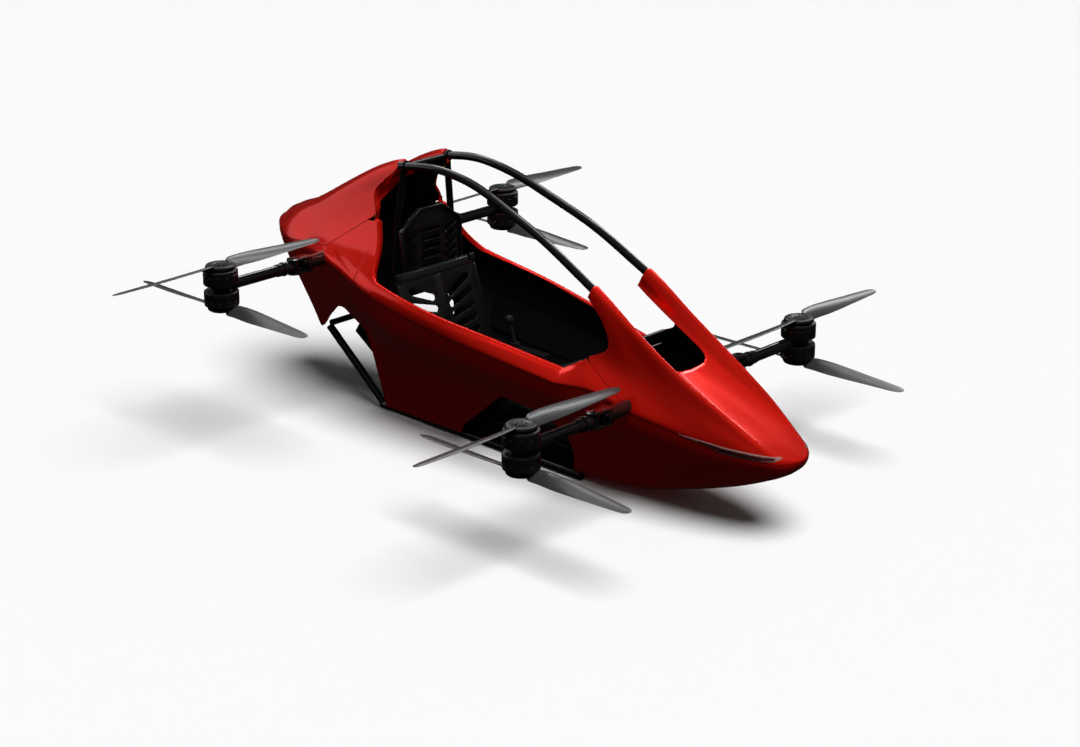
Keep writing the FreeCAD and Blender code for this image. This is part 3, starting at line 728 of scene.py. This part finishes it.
# tail fairing between the humps
ty = np.linspace(2296, 2512, 34)
tx = np.linspace(-1, 1, 31)
TP = np.empty((len(ty) + 5, len(tx), 3))
half = np.interp(ty, [2250, 2400, 2500], [98, 96, 90])
crest = np.interp(ty, [2250, 2400, 2500, 2520], [486, 417, 366, 356])
lift = np.interp(ty, [2296, 2340, 2400, 2460, 2512], [-14, 2, 16, 26, 28])
for i in range(len(ty)):
    TP[i, :, 0] = tx * half[i]
    TP[i, :, 1] = ty[i] + 10 * (1 - tx**2) * (i / (len(ty) - 1)) ** 3 - 10 * (i / (len(ty) - 1)) ** 3
    TP[i, :, 2] = crest[i] - 4 + lift[i] * (1 - np.abs(tx) ** 2.4)
for k, th in enumerate((25, 50, 75, 95, 110)):
    t = math.radians(th)
    TP[len(ty) + k] = TP[len(ty) - 1] + np.array([0, 12 * math.sin(t), -12 * (1 - math.cos(t))])
o = build("hull_tail_fairing", [(W(TP), None, False)])
wear(o, PAINT, INSIDE)
shell(o, 0.004, 0.0012)
piece(o, ROOT)

# ------------------------------------------------------------ seam shade strips
def seam_shade_strip(name, line, surf, n=60, half=16.0, deep=6.0):
    """A dark strip just inside the skin, behind a seam between two panels: painted shade that makes the gap read as a
    dark line.
    """
    pts = np.array(line, float)
    cum = np.r_[0, np.cumsum(np.linalg.norm(np.diff(pts, axis=0), axis=1))]
    t = np.linspace(0, cum[-1], n)
    c = np.stack([np.interp(t, cum, pts[:, k]) for k in range(2)], axis=1)
    d = np.gradient(c, axis=0)
    d /= np.linalg.norm(d, axis=1, keepdims=True)
    q = np.stack([-d[:, 1], d[:, 0]], axis=1)
    G = np.empty((5, n, 3))
    for i, w in enumerate(np.linspace(-half, half, 5)):
        c2 = c + q * w
        for j in range(n):
            G[i, j] = (surf(c2[j, 0], c2[j, 1]), c2[j, 0], c2[j, 1])
    nn_ = normals(G)
    nn_ = np.where(nn_[..., :1] < 0, -nn_, nn_)
    G = G - nn_ * deep
    o = build(name, [(W(G), None, True), (W(mirrored(G)), None, False)])
    wear(o, INSIDE)
    shell(o, 0.0015, 0)
    return piece(o, ROOT)


def nose_x(y, z):
    return x_on(nose_sheet, y, [z], K[3], K[-1], 120)[0]


def aft_x(y, z):
    return x_on(hump_sheet, y, [z], H[2], H[-1], 120)[0] + swell(y, z)


# the strips behind the front and rear seams are painted shade, seen through the gaps
seam_shade_strip("seam_shade_front", [(780, 206), (606, 109), (606, 67), (930, -60)], nose_x, 90)
seam_shade_strip("seam_shade_rear", [(1916, 468), (2110, 342), (2440, 294)], aft_x, 70)


# ---------------------------------------------------- motors and propellers
def lathe(name, profile, centre, n=56, at=(0, 0, 0)):
    """Turned shape: profile of (radius, height) in mm about a vertical axis."""
    pr = np.array(profile, float)
    verts, faces = [], []
    m = len(pr)
    for k in range(n):
        a_ = 2 * math.pi * k / n
        for r, z in pr:
            verts.append((centre[0] + r * math.cos(a_) * 0.001, centre[1] + r * math.sin(a_) * 0.001, centre[2] + z * 0.001))
    for k in range(n):
        k2 = (k + 1) % n
        for i in range(m - 1):
            faces.append((k * m + i, k2 * m + i, k2 * m + i + 1, k * m + i + 1))
    me = bpy.data.meshes.new(name)
    me.from_pydata(verts, [], faces)
    o = bpy.data.objects.new(name, me)
    bpy.context.scene.collection.objects.link(o)
    bm = bmesh.new()
    bm.from_mesh(me)
    bmesh.ops.remove_doubles(bm, verts=bm.verts, dist=1e-6)
    bmesh.ops.recalc_face_normals(bm, faces=bm.faces)
    bm.to_mesh(me)
    bm.free()
    return sharp(o, 38)


def arc(cx_, cz_, r, a0, a1, n=7):
    return [(cx_ + r * math.cos(math.radians(t)), cz_ + r * math.sin(math.radians(t))) for t in np.linspace(a0, a1, n)]


def block(name, size, loc, bevel=0.0015, seg=2, rot=None):
    """A block with rounded edges, sizes and place in mm of the working frame."""
    me = bpy.data.meshes.new(name)
    bm = bmesh.new()
    bmesh.ops.create_cube(bm, size=1.0)
    for v in bm.verts:
        v.co = Vector((v.co.x * size[0], v.co.y * size[1], v.co.z * size[2])) * 0.001
    bm.to_mesh(me)
    bm.free()
    o = bpy.data.objects.new(name, me)
    bpy.context.scene.collection.objects.link(o)
    if bevel:
        bevelled(o, bevel, seg, 30)
    M = (rot.to_4x4() if rot is not None else Matrix.Identity(4))
    M.translation = Vector(W(loc))
    o.data.transform(M)
    return smooth(o) if bevel else o


def joined(name, objs):
    """One object out of several, keeping each one's material."""
    mats, bm = [], bmesh.new()
    for o in objs:
        base = len(mats)
        mats += list(o.data.materials)
        me = o.data.copy()
        me.transform(o.matrix_world)
        nb = len(bm.faces)
        bm.from_mesh(me)
        bm.faces.ensure_lookup_table()
        for f in bm.faces[nb:]:
            f.material_index += base
        bpy.data.objects.remove(o)
    me = bpy.data.meshes.new(name)
    bm.to_mesh(me)
    bm.free()
    o = bpy.data.objects.new(name, me)
    bpy.context.scene.collection.objects.link(o)
    for m_ in mats:
        o.data.materials.append(m_)
    return o


BLADES = [(40, 40, 26, 12, 1), (52, 56, 26, 11, 3), (66, 61, 25, 10, 5), (82, 62.5, 24.5, 9, 6), (105, 64.5, 23.5, 8.4, 6.5), (150, 68, 21, 7.4, 6),
          (200, 66.5, 18.5, 6.4, 5), (300, 57.5, 14, 4.9, 3), (400, 46.5, 11, 3.6, 1), (435, 41, 10, 3.1, 0), (456, 33, 9.5, 2.7, 0),
          (466, 23, 9, 2.4, 0), (471, 10, 8.6, 1.8, 0)]   # r, chord, twist, thick, how far the middle lies ahead


def blade_mesh(name, centre, turn):
    t = np.array([q[0] for q in BLADES], float)
    v = np.array([q[1:] for q in BLADES], float)
    rs = np.concatenate([np.linspace(40, 150, 14), np.linspace(150, 430, 22)[1:], np.linspace(430, 471, 12)[1:]])
    vals = curve(t, v, rs)
    n = 26
    ang = np.linspace(0, 2 * math.pi, n, endpoint=False)
    u = 0.5 * np.cos(ang)                                  # +0.5 is the leading, high edge
    th = np.sin(ang) * np.sqrt(np.maximum(0.0, 0.5 + u * 0.9)) * 0.72
    camber = 0.045 * (1 - (2 * u) ** 2)
    verts, faces = [], []
    for s_ in range(2):
        base = len(verts)
        for r, (c, tw, tk, ahead) in zip(rs, vals):
            a_ = math.radians(tw)
            y = u * c + ahead
            z = th * tk + camber * c
            yy, zz = y * math.cos(a_) - z * math.sin(a_), y * math.sin(a_) + z * math.cos(a_)
            zz = zz - 1.5
            ph = turn + math.pi * s_
            for j in range(n):
                verts.append((centre[0] + (r * math.cos(ph) - yy[j] * math.sin(ph)) * 0.001,
                              centre[1] + (r * math.sin(ph) + yy[j] * math.cos(ph)) * 0.001, centre[2] + zz[j] * 0.001))
        for i in range(len(rs) - 1):
            for j in range(n):
                j2 = (j + 1) % n
                faces.append((base + i * n + j, base + i * n + j2, base + (i + 1) * n + j2, base + (i + 1) * n + j))
        faces.append(tuple(base + (len(rs) - 1) * n + j for j in range(n)))
        faces.append(tuple(base + j for j in reversed(range(n))))
    o = obj_from(name, verts, faces)
    bm = bmesh.new()
    bm.from_mesh(o.data)
    bmesh.ops.recalc_face_normals(bm, faces=bm.faces)
    bm.to_mesh(o.data)
    bm.free()
    return sharp(o, 55)


CAN = [(0, 12)] + [(52, 12), (58, 12)] + arc(59, 17, 5, -70, 0) + [(64, 30), (64, 53), (63, 54), (63, 55.5), (64, 56.5)] + arc(55, 61, 9, 0, 90, 9) + [(40, 70), (39, 69), (12, 69), (0, 69)]
LOWCAN = [(r, -z) for r, z in CAN]
for end in ("front", "rear"):
    sy, sz = STATIONS[end]
    for side, sx in (("left", 1), ("right", -1)):
        key = end + "_" + side
        c0 = W(np.array([sx * ARM_X * 1000, sy * 1000, sz * 1000]))
        for lev, profile, body, up_ in (("upper", CAN, "arm_" + key, 1), ("lower", LOWCAN, "lower_motor_" + key, -1)):
            can = wear(lathe("can_" + lev + "_" + key, profile, c0), MOTOR)
            parts_ = [can]
            for k in range(12):
                a_ = math.radians(30 * k + 15)
                b_ = block("slot", (9, 1.6, 2.6), (0, 0, 0), 0.0004, 1)
                b_.data.transform(Matrix.Translation(-Vector(W((0, 0, 0)))))
                M = Matrix.Rotation(a_ + math.pi / 2, 4, "Z")
                M.translation = Vector(c0) + Vector((63.6 * math.cos(a_), 63.6 * math.sin(a_), 47 * up_)) * 0.001
                b_.data.transform(M)
                parts_.append(wear(b_, STEEL))
            o = joined("motor_can_" + lev + "_" + key, parts_)
            o = piece(o, body, "motor_" + lev + "_" + key)
            turn = 0.0 if lev == "upper" else -math.pi / 2
            hub = [(0, 73.5), (50, 73.5), (53, 75)] + arc(46, 78, 8.5, -20, 90, 9) + [(26, 87), (24, 86), (10, 86), (9, 87), (0, 87)]
            if lev == "lower":
                hub = [(r * 0.98, -z) for r, z in hub]
            h_ = wear(lathe("hub", hub, c0), MOTOR)
            b_ = wear(blade_mesh("blades", Vector(c0) + Vector((0, 0, 0.080 * up_)), turn), BLADE)
            parts_ = [h_, b_]
            for k in range(6):
                a_ = math.radians(60 * k + 30)
                bolt = [(0, 88.6), (2.2, 88.6), (3.1, 88), (3.1, 85.5), (0, 85.5)]
                if lev == "lower":
                    bolt = [(r, -z) for r, z in bolt]
                bb = lathe("bolt", bolt, Vector(c0) + Vector((17 * math.cos(a_), 17 * math.sin(a_), 0)) * 0.001, 10)
                parts_.append(wear(bb, MOTOR))
            o = joined("prop_" + lev + "_" + key, parts_)
            piece(o, lev + "_propeller_" + key, "propeller_" + lev + "_" + key)

# ------------------------------------------------- lamps, painted shade for the slits, inner panels
def on_nose(name, up_line, lo_line, mat, rows_=7, n=90, lift_=1.1, thick=0.0012):
    y = np.linspace(up_line[0][0], up_line[-1][0], n)
    hi = np.interp(y, [q[0] for q in up_line], [q[1] for q in up_line])
    lo = np.interp(y, [q[0] for q in lo_line], [q[1] for q in lo_line])
    G = np.empty((rows_, n, 3))
    for i, t in enumerate(np.linspace(0, 1, rows_)):
        for j in range(n):
            z = lerp(hi[j], lo[j], t)
            G[i, j] = (nose_x(y[j], z), y[j], z)
    q_ = normals(G)
    q_ = np.where(q_[..., :1] < 0, -q_, q_)
    G = G + q_ * lift_
    o = build(name, [(W(G), None, True), (W(mirrored(G)), None, False)])
    wear(o, mat)
    shell(o, thick, 0.0004, 1, inner=0)
    return piece(o, ROOT)


LAMP_UP = [(36, 10), (50, 12), (90, 15), (150, 20), (222, 25), (250, 28), (300, 33), (372, 38)]
LAMP_LO = [(36, 5), (50, -3), (90, -5), (150, -4), (222, 0), (235, 6), (250, 12), (300, 23), (372, 34)]
on_nose("light_strips_rim", LAMP_UP, LAMP_LO, LAMP, lift_=0.8)
mid = [(y, lerp(a_, b_, 0.22)) for (y, a_), b_ in zip(LAMP_UP, np.interp([q[0] for q in LAMP_UP], [q[0] for q in LAMP_LO], [q[1] for q in LAMP_LO]))]
low = [(y, lerp(b_, np.interp(y, [q[0] for q in LAMP_UP], [q[1] for q in LAMP_UP]), 0.22)) for y, b_ in LAMP_LO]
on_nose("light_strips", mid[1:-1], low[1:-1], GLASS, lift_=1.8)
# the side slits are not cut: a thin dark sheet laid on the nose skin is painted shade standing in for their hollows
on_nose("side_slit_shade_patch", [(716, 34), (724, 36), (734, 30)], [(716, 26), (724, 2), (734, -12)], INSIDE, 5, 12, 0.6, 0.0008)

panels = []
for sx in (-1, 1):
    panels.append(wear(block("wall", (4, 640, 236), (sx * 121, 1165, -156), 0.0015), COCKPIT))
    panels.append(wear(block("plate", (5, 96, 70), (sx * 126, 1128, -70), 0.0015), SEAT))
    panels.append(wear(block("plate", (6, 74, 44), (sx * 127, 1250, -110), 0.0015), SEAT))
    panels.append(wear(block("plate", (5, 60, 52), (sx * 126, 1030, -140), 0.0015), SEAT))
    panels.append(wear(block("rib", (8, 420, 6), (sx * 127, 1140, -186), 0.0012), CLAMP))
    panels.append(wear(block("rib", (8, 300, 5), (sx * 127, 1090, -92), 0.0012), TUBE))
panels.append(wear(block("pan", (246, 560, 4), (0, 1125, -272), 0.0012), COCKPIT))
panels.append(wear(block("front_wall", (246, 4, 240), (0, 846, -152), 0.0012), COCKPIT))
piece(joined("belly_panels", panels), ROOT)

# --------------------------------------- frame parts again, with eased edges
def eased(node, body, mat, width=0.0012, seg=2, angle=28, extra_parts=()):
    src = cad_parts[node]
    me = src.data.copy()
    me.transform(src.matrix_world)
    o = bpy.data.objects.new(node + "_finished", me)
    bpy.context.scene.collection.objects.link(o)
    bm = bmesh.new()
    bm.from_mesh(me)
    bmesh.ops.remove_doubles(bm, verts=bm.verts, dist=2e-5)
    bmesh.ops.dissolve_limit(bm, angle_limit=math.radians(1.5), verts=bm.verts, edges=bm.edges)
    bm.to_mesh(me)
    bm.free()
    b = o.modifiers.new("edge", "BEVEL")
    b.width, b.segments, b.limit_method, b.angle_limit = width, seg, "ANGLE", math.radians(angle)
    b.use_clamp_overlap = True
    apply_mods(o)
    wear(sharp(o, 42), mat)
    if extra_parts:
        o = joined(node + "_finished", [o] + list(extra_parts))
    return piece(o, body, node)


def bolt_head(centre, r=3.2, h=3.0, axis="Z", mat=None):
    o = lathe("bolt", [(0, h), (r * 0.55, h), (r * 0.6, h * 0.55), (r * 0.62, h), (r * 0.85, h), (r, h * 0.7), (r, -1.0), (0, -1.0)], (0, 0, 0), 14)
    if axis == "X":
        o.data.transform(Matrix.Rotation(math.pi / 2, 4, "Y"))
    M = Matrix.Identity(4)
    M.translation = Vector(W(centre))
    o.data.transform(M)
    return wear(o, mat or STEEL)


def on_seat(u, d, w):
    """A place on the seat back: u across, d down from its top edge, w out of its face."""
    a_ = math.atan2(290 + 28, 1752 - 1640)
    return (u, 1752 - d * math.cos(a_) - w * math.sin(a_), 290 - d * math.sin(a_) + w * math.cos(a_))


tilt = Matrix.Rotation(math.atan2(290 + 28, 1752 - 1640), 3, "X")
seat_trim = [wear(block("band", (392, 30, 7), on_seat(0, 20, 3), 0.003, 3, tilt), SEAT),
             wear(block("spine", (34, 220, 6), on_seat(0, 150, 3), 0.0025, 3, tilt), SEAT)]
for sx in (-1, 1):
    seat_trim.append(wear(block("edge", (12, 250, 9), on_seat(sx * 196, 165, 4), 0.003, 3, tilt), SEAT))
    seat_trim.append(wear(block("hinge", (26, 26, 18), on_seat(sx * 190, 12, 6), 0.004, 3, tilt), MOTOR))
eased("seat_back", ROOT, SEAT, 0.0022, 3, 28, seat_trim)
eased("seat_pan", ROOT, SEAT, 0.0015)
eased("battery_pack", ROOT, COCKPIT, 0.0025)
mount_trim = []
for end in ("front", "rear"):
    sy, sz = STATIONS[end][0] * 1000, STATIONS[end][1] * 1000
    for sx in (-1, 1):
        for dx, dy in ((-14, -14), (-14, 14), (10, 0)):
            mount_trim.append(bolt_head((sx * (385 + dx * 0.9), sy + dy * 0.9, sz + 28.5), 3.0, 3.0))
        for k in range(3):
            mount_trim.append(wear(block("ridge", (46, 2.4, 2.2), (sx * 350, sy - 12 + 12 * k, sz + 25.6), 0.0008), CLAMP))
        key = end + "_" + ("left" if sx > 0 else "right")
        ring = lathe("ring", [(15.2, -5), (25, -5), (27, -3), (27, 3), (25, 5), (15.2, 5)], (0, 0, 0), 40)
        ring.data.transform(Matrix.Rotation(math.pi / 2, 4, "Y"))
        M = Matrix.Identity(4)
        M.translation = Vector(W((sx * 437, sy, sz)))
        ring.data.transform(M)
        ring2 = lathe("ring", [(15.2, -12), (22.5, -12), (24, -10.5), (24, 10.5), (22.5, 12), (15.2, 12)], (0, 0, 0), 40)
        sleeve = lathe("sleeve", [(15.2, -112), (20, -112), (20.8, -111), (20.8, 111), (20, 112), (15.2, 112)], (0, 0, 0), 48)
        sleeve.data.transform(Matrix.Rotation(math.pi / 2, 4, "Y"))
        M = Matrix.Identity(4)
        M.translation = Vector(W((sx * 570, sy, sz)))
        sleeve.data.transform(M)
        collar_ = lathe("collar", [(15.2, -13), (22, -13), (23.5, -11), (23.5, 11), (22, 13), (15.2, 13)], (0, 0, 0), 40)
        collar_.data.transform(Matrix.Rotation(math.pi / 2, 4, "Y"))
        M.translation = Vector(W((sx * 418, sy, sz)))
        collar_.data.transform(M)
        plate_ = lathe("plate", [(0, -5), (26, -5), (30, -2), (30, 2), (26, 5), (0, 5)], (0, 0, 0), 48)
        plate_.data.transform(Matrix.Rotation(math.pi / 2, 4, "Y"))
        M.translation = Vector(W((sx * 333, sy, sz)))
        plate_.data.transform(M)
        mount_trim.append(wear(plate_, MOTOR))
        mount_trim.append(wear(block("core", (17, 40, 40), (sx * 346, sy, sz), 0.003, 3), CLAMP))
        mount_trim.append(wear(block("latch", (16, 12, 14), (sx * 346, sy - 24, sz + 12), 0.003, 3), CLAMP))
        mount_trim.append(bolt_head((sx * 344, sy - 14, sz + 27), 4.5, 5.0))
        ring2.data.transform(Matrix.Rotation(math.pi / 2, 4, "Y"))
        M.translation = Vector(W((sx * 456, sy, sz)))
        ring2.data.transform(M)
        eased("arm_" + key, "arm_" + key, ARM, 0.0010, 2, 28, [wear(ring, MOTOR), wear(ring2, MOTOR), wear(sleeve, ARM), wear(collar_, CLAMP)])
eased("arm_mounts", ROOT, CLAMP, 0.0012, 2, 28, mount_trim)

# ---------------------------------------------------------------- head rest
def slab(name, outline, holes, thick, to_world, mat, bevel=0.0016):
    """A flat panel with cut-outs: outline and holes in its own plane (mm), placed by to_world(u, v, w)."""
    cu = bpy.data.curves.new(name, "CURVE")
    cu.dimensions = "2D"
    cu.fill_mode = "BOTH"
    cu.extrude = thick / 2
    cu.bevel_depth = 0.0
    for loop in [outline] + holes:
        sp = cu.splines.new("POLY")
        sp.points.add(len(loop) - 1)
        for pt, (u, v) in zip(sp.points, loop):
            pt.co = (u, v, 0, 1)
        sp.use_cyclic_u = True
    tmp = bpy.data.objects.new(name, cu)
    bpy.context.scene.collection.objects.link(tmp)
    me = bpy.data.meshes.new_from_object(tmp.evaluated_get(bpy.context.evaluated_depsgraph_get()))
    bpy.data.objects.remove(tmp)
    bm = bmesh.new()
    bm.from_mesh(me)
    bmesh.ops.remove_doubles(bm, verts=bm.verts, dist=1e-4)
    bmesh.ops.recalc_face_normals(bm, faces=bm.faces)
    for v in bm.verts:
        v.co = Vector(W(to_world(v.co.x, v.co.y, v.co.z)))
    bmesh.ops.recalc_face_normals(bm, faces=bm.faces)
    bmesh.ops.dissolve_limit(bm, angle_limit=math.radians(1), verts=bm.verts, edges=bm.edges)
    bm.to_mesh(me)
    bm.free()
    o = bpy.data.objects.new(name, me)
    bpy.context.scene.collection.objects.link(o)
    b = o.modifiers.new("edge", "BEVEL")
    b.width, b.segments, b.limit_method, b.angle_limit = bevel, 2, "ANGLE", math.radians(40)
    b.use_clamp_overlap = True
    apply_mods(o)
    return wear(sharp(o, 42), mat)


def capsule(u, v, length, width, lean=0.0, n=7):
    r = width / 2
    c, s_ = math.cos(math.radians(lean)), math.sin(math.radians(lean))
    pts = [(length / 2 - r + r * math.cos(t), r * math.sin(t)) for t in np.linspace(-math.pi / 2, math.pi / 2, n)]
    pts += [(-length / 2 + r + r * math.cos(t), r * math.sin(t)) for t in np.linspace(math.pi / 2, 1.5 * math.pi, n)]
    return [(u + a_ * c - b_ * s_, v + a_ * s_ + b_ * c) for a_, b_ in pts]


louvres = []
for sx in (-1, 1):
    for z in (42, 76, 110, 144, 178):
        louvres.append(wear(block("louvre", (46, 13, 2.4), (sx * 104, 1757, 240 + z + 3), 0.0008, 1, Matrix.Rotation(math.radians(-28 * sx), 3, "Y")), SEAT))
for z in (50, 84, 118, 152, 186):
    louvres.append(wear(block("louvre", (92, 12, 2.4), (0, 1760, 240 + z - 5), 0.0008, 1), SEAT))
for a_, b_ in (((-150, 1762, 444), (-62, 1764, 512)), ((-62, 1764, 514), (62, 1764, 514)), ((62, 1764, 512), (150, 1762, 444)), ((-150, 1760, 270), (-150, 1762, 444)), ((150, 1760, 270), (150, 1762, 444))):
    A_, B_ = np.array(a_, float), np.array(b_, float)
    L_ = float(np.linalg.norm(B_ - A_))
    louvres.append(wear(block("rim", (L_ + 6, 22, 6), tuple((A_ + B_) / 2), 0.002, 2,
                              Matrix.Rotation(-math.atan2(B_[2] - A_[2], B_[0] - A_[0]), 3, "Y")), SEAT))
eased("head_rest", ROOT, SEAT, 0.0018, 2, 28, louvres)

# ------------------------------------------------------ the frame's own nodes
def dress(node, mat, angle=35):
    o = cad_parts[node]
    o.data.materials.clear()
    o.data.materials.append(mat)


LOOKS = {
    "cockpit_liner": COCKPIT, "rear_deck": COCKPIT, "rear_bulkhead": COCKPIT, "roll_bar": TUBE, "main_post": TUBE,
    "mid_crossbar": TUBE, "skid_rail": TUBE, "rail_crossbars": TUBE, "rear_brace": TUBE, "tail_crossbar": TUBE,
    "front_spar": TUBE, "rear_spar": TUBE, "seat": SEAT, "head_rest": SEAT, "control_sticks": GRIP, "armrests": SEAT,
    "battery_pack": COCKPIT, "dash_bars": TUBE, "foot_rest": TUBE, "arm_mounts": CLAMP, "arm": ARM, "motor": MOTOR,
    "propeller": BLADE,
}
for node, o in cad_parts.items():
    best = max((k for k in LOOKS if node.startswith(k)), key=len, default=None)
    if best:
        dress(node, LOOKS[best])

# ------------------------------------------------------------ floor and light
bpy.ops.mesh.primitive_plane_add(size=60, location=(0, 0, -0.0005))
floor = bpy.context.object
floor.name = "floor"
fm = bpy.data.materials.new("pale_floor")
fm.use_nodes = True
fb = fm.node_tree.nodes["Principled BSDF"]
fb.inputs["Base Color"].default_value = (0.86, 0.86, 0.86, 1)
fb.inputs["Roughness"].default_value = 0.9
fb.inputs["Specular IOR Level"].default_value = 0.1
floor.data.materials.append(fm)
floor.visible_glossy = False
floor.visible_diffuse = False

world = bpy.data.worlds.new("studio")
bpy.context.scene.world = world
world.use_nodes = True
nt = world.node_tree
n, l = nt.nodes, nt.links
n.clear()
out = n.new("ShaderNodeOutputWorld")
lp = n.new("ShaderNodeLightPath")
tc = n.new("ShaderNodeTexCoord")
sep = n.new("ShaderNodeSeparateXYZ")
l.new(tc.outputs["Generated"], sep.inputs["Vector"])


def sky(stops, strength):
    ramp = n.new("ShaderNodeValToRGB")
    half_up = n.new("ShaderNodeMapRange")
    half_up.inputs["From Min"].default_value = -1.0
    half_up.inputs["From Max"].default_value = 1.0
    l.new(sep.outputs["Z"], half_up.inputs["Value"])
    l.new(half_up.outputs["Result"], ramp.inputs["Fac"])
    e = ramp.color_ramp.elements
    for i, (pos, v) in enumerate(stops):
        el = e[i] if i < 2 else e.new(pos)
        el.position = pos
        el.color = (v, v, v, 1)
    bg = n.new("ShaderNodeBackground")
    l.new(ramp.outputs["Color"], bg.inputs["Color"])
    bg.inputs["Strength"].default_value = strength
    return bg


soft = sky([(0.0, 0.07), (1.0, 0.06), (0.5, 0.05)], 1.0)          # what lights the paint evenly
seen = sky([(0.0, 0.008), (1.0, 0.14), (0.48, 0.010), (0.56, 0.035)], 1.0)   # what gloss mirrors
white = n.new("ShaderNodeBackground")
white.inputs["Strength"].default_value = 1.0
m1 = n.new("ShaderNodeMixShader")
m2 = n.new("ShaderNodeMixShader")
l.new(lp.outputs["Is Glossy Ray"], m1.inputs["Fac"])
l.new(soft.outputs["Background"], m1.inputs[1])
l.new(seen.outputs["Background"], m1.inputs[2])
l.new(lp.outputs["Is Camera Ray"], m2.inputs["Fac"])
l.new(m1.outputs["Shader"], m2.inputs[1])
l.new(white.outputs["Background"], m2.inputs[2])
l.new(m2.outputs["Shader"], out.inputs["Surface"])


def area(name, loc, target, size, radiance, colour=(1, 1, 1), card=True):
    """A soft box; a card is only mirrored in gloss and lights nothing else."""
    d = bpy.data.lights.new(name, "AREA")
    d.shape = "RECTANGLE"
    d.size, d.size_y = size
    d.energy = radiance * math.pi * size[0] * size[1]
    d.color = colour
    o = bpy.data.objects.new(name, d)
    bpy.context.scene.collection.objects.link(o)
    o.location = loc
    o.rotation_euler = (Vector(target) - Vector(loc)).to_track_quat("-Z", "Y").to_euler()
    o.visible_camera = False
    o.visible_diffuse = not card
    return o


sun = bpy.data.lights.new("sun", "SUN")
sun.energy = 3.58
sun.angle = math.radians(40)
so = bpy.data.objects.new("sun", sun)
bpy.context.scene.collection.objects.link(so)
so.rotation_euler = Vector((0.04, 0.36, -1)).to_track_quat("-Z", "Y").to_euler()
so.visible_glossy = False
area("card_hood_mid", (3.7, 0.8, 3.9), (0, -0.8, 0.5), (0.6, 3.0), 7.0)
area("card_hood_high", (2.2, 1.0, 5.2), (0, -0.8, 0.5), (0.45, 3.0), 7.0)
area("card_hood_low", (4.9, 0.8, 2.6), (0, -0.8, 0.5), (0.35, 3.0), 6.0)
area("card_top", (-0.2, 1.6, 5.2), (0, 0, 0.5), (0.4, 3.6), 3.6)
area("card_port_aft", (2.6, 3.6, 4.2), (0, -0.4, 0.4), (1.0, 1.3), 6.5)
area("card_back", (0.2, 4.6, 4.4), (0, 0.2, 0.5), (4.0, 2.2), 1.2)
area("card_aft_starboard", (-3.2, 5.6, 2.0), (0, 0.6, 0.6), (3.6, 2.8), 0.62)

# -------------------------------------------------------------------- camera
AZ, EL, RL = -0.805454, 0.353467, -0.002989
cam = bpy.data.cameras.new("camera")
cam.sensor_fit = "HORIZONTAL"
cam.sensor_width = 36.0
cam.lens = 72.37
cam.clip_end = 200
co = bpy.data.objects.new("camera", cam)
bpy.context.scene.collection.objects.link(co)
back = Vector((math.sin(AZ) * math.cos(EL), -math.cos(AZ) * math.cos(EL), math.sin(EL)))
right = (-back).cross(Vector((0, 0, 1))).normalized()
up = right.cross(-back)
r2 = right * math.cos(RL) + up * math.sin(RL)
u2 = -right * math.sin(RL) + up * math.cos(RL)
mat = Matrix((r2, u2, back)).transposed().to_4x4()
mat.translation = Vector((-5.352739, -5.234439, 3.023331))
co.matrix_world = mat
bpy.context.scene.camera = co

sc = bpy.context.scene
sc.view_settings.view_transform = "Standard"
sc.view_settings.look = "None"
sc.cycles.use_denoising = True
sc.cycles.max_bounces = 8
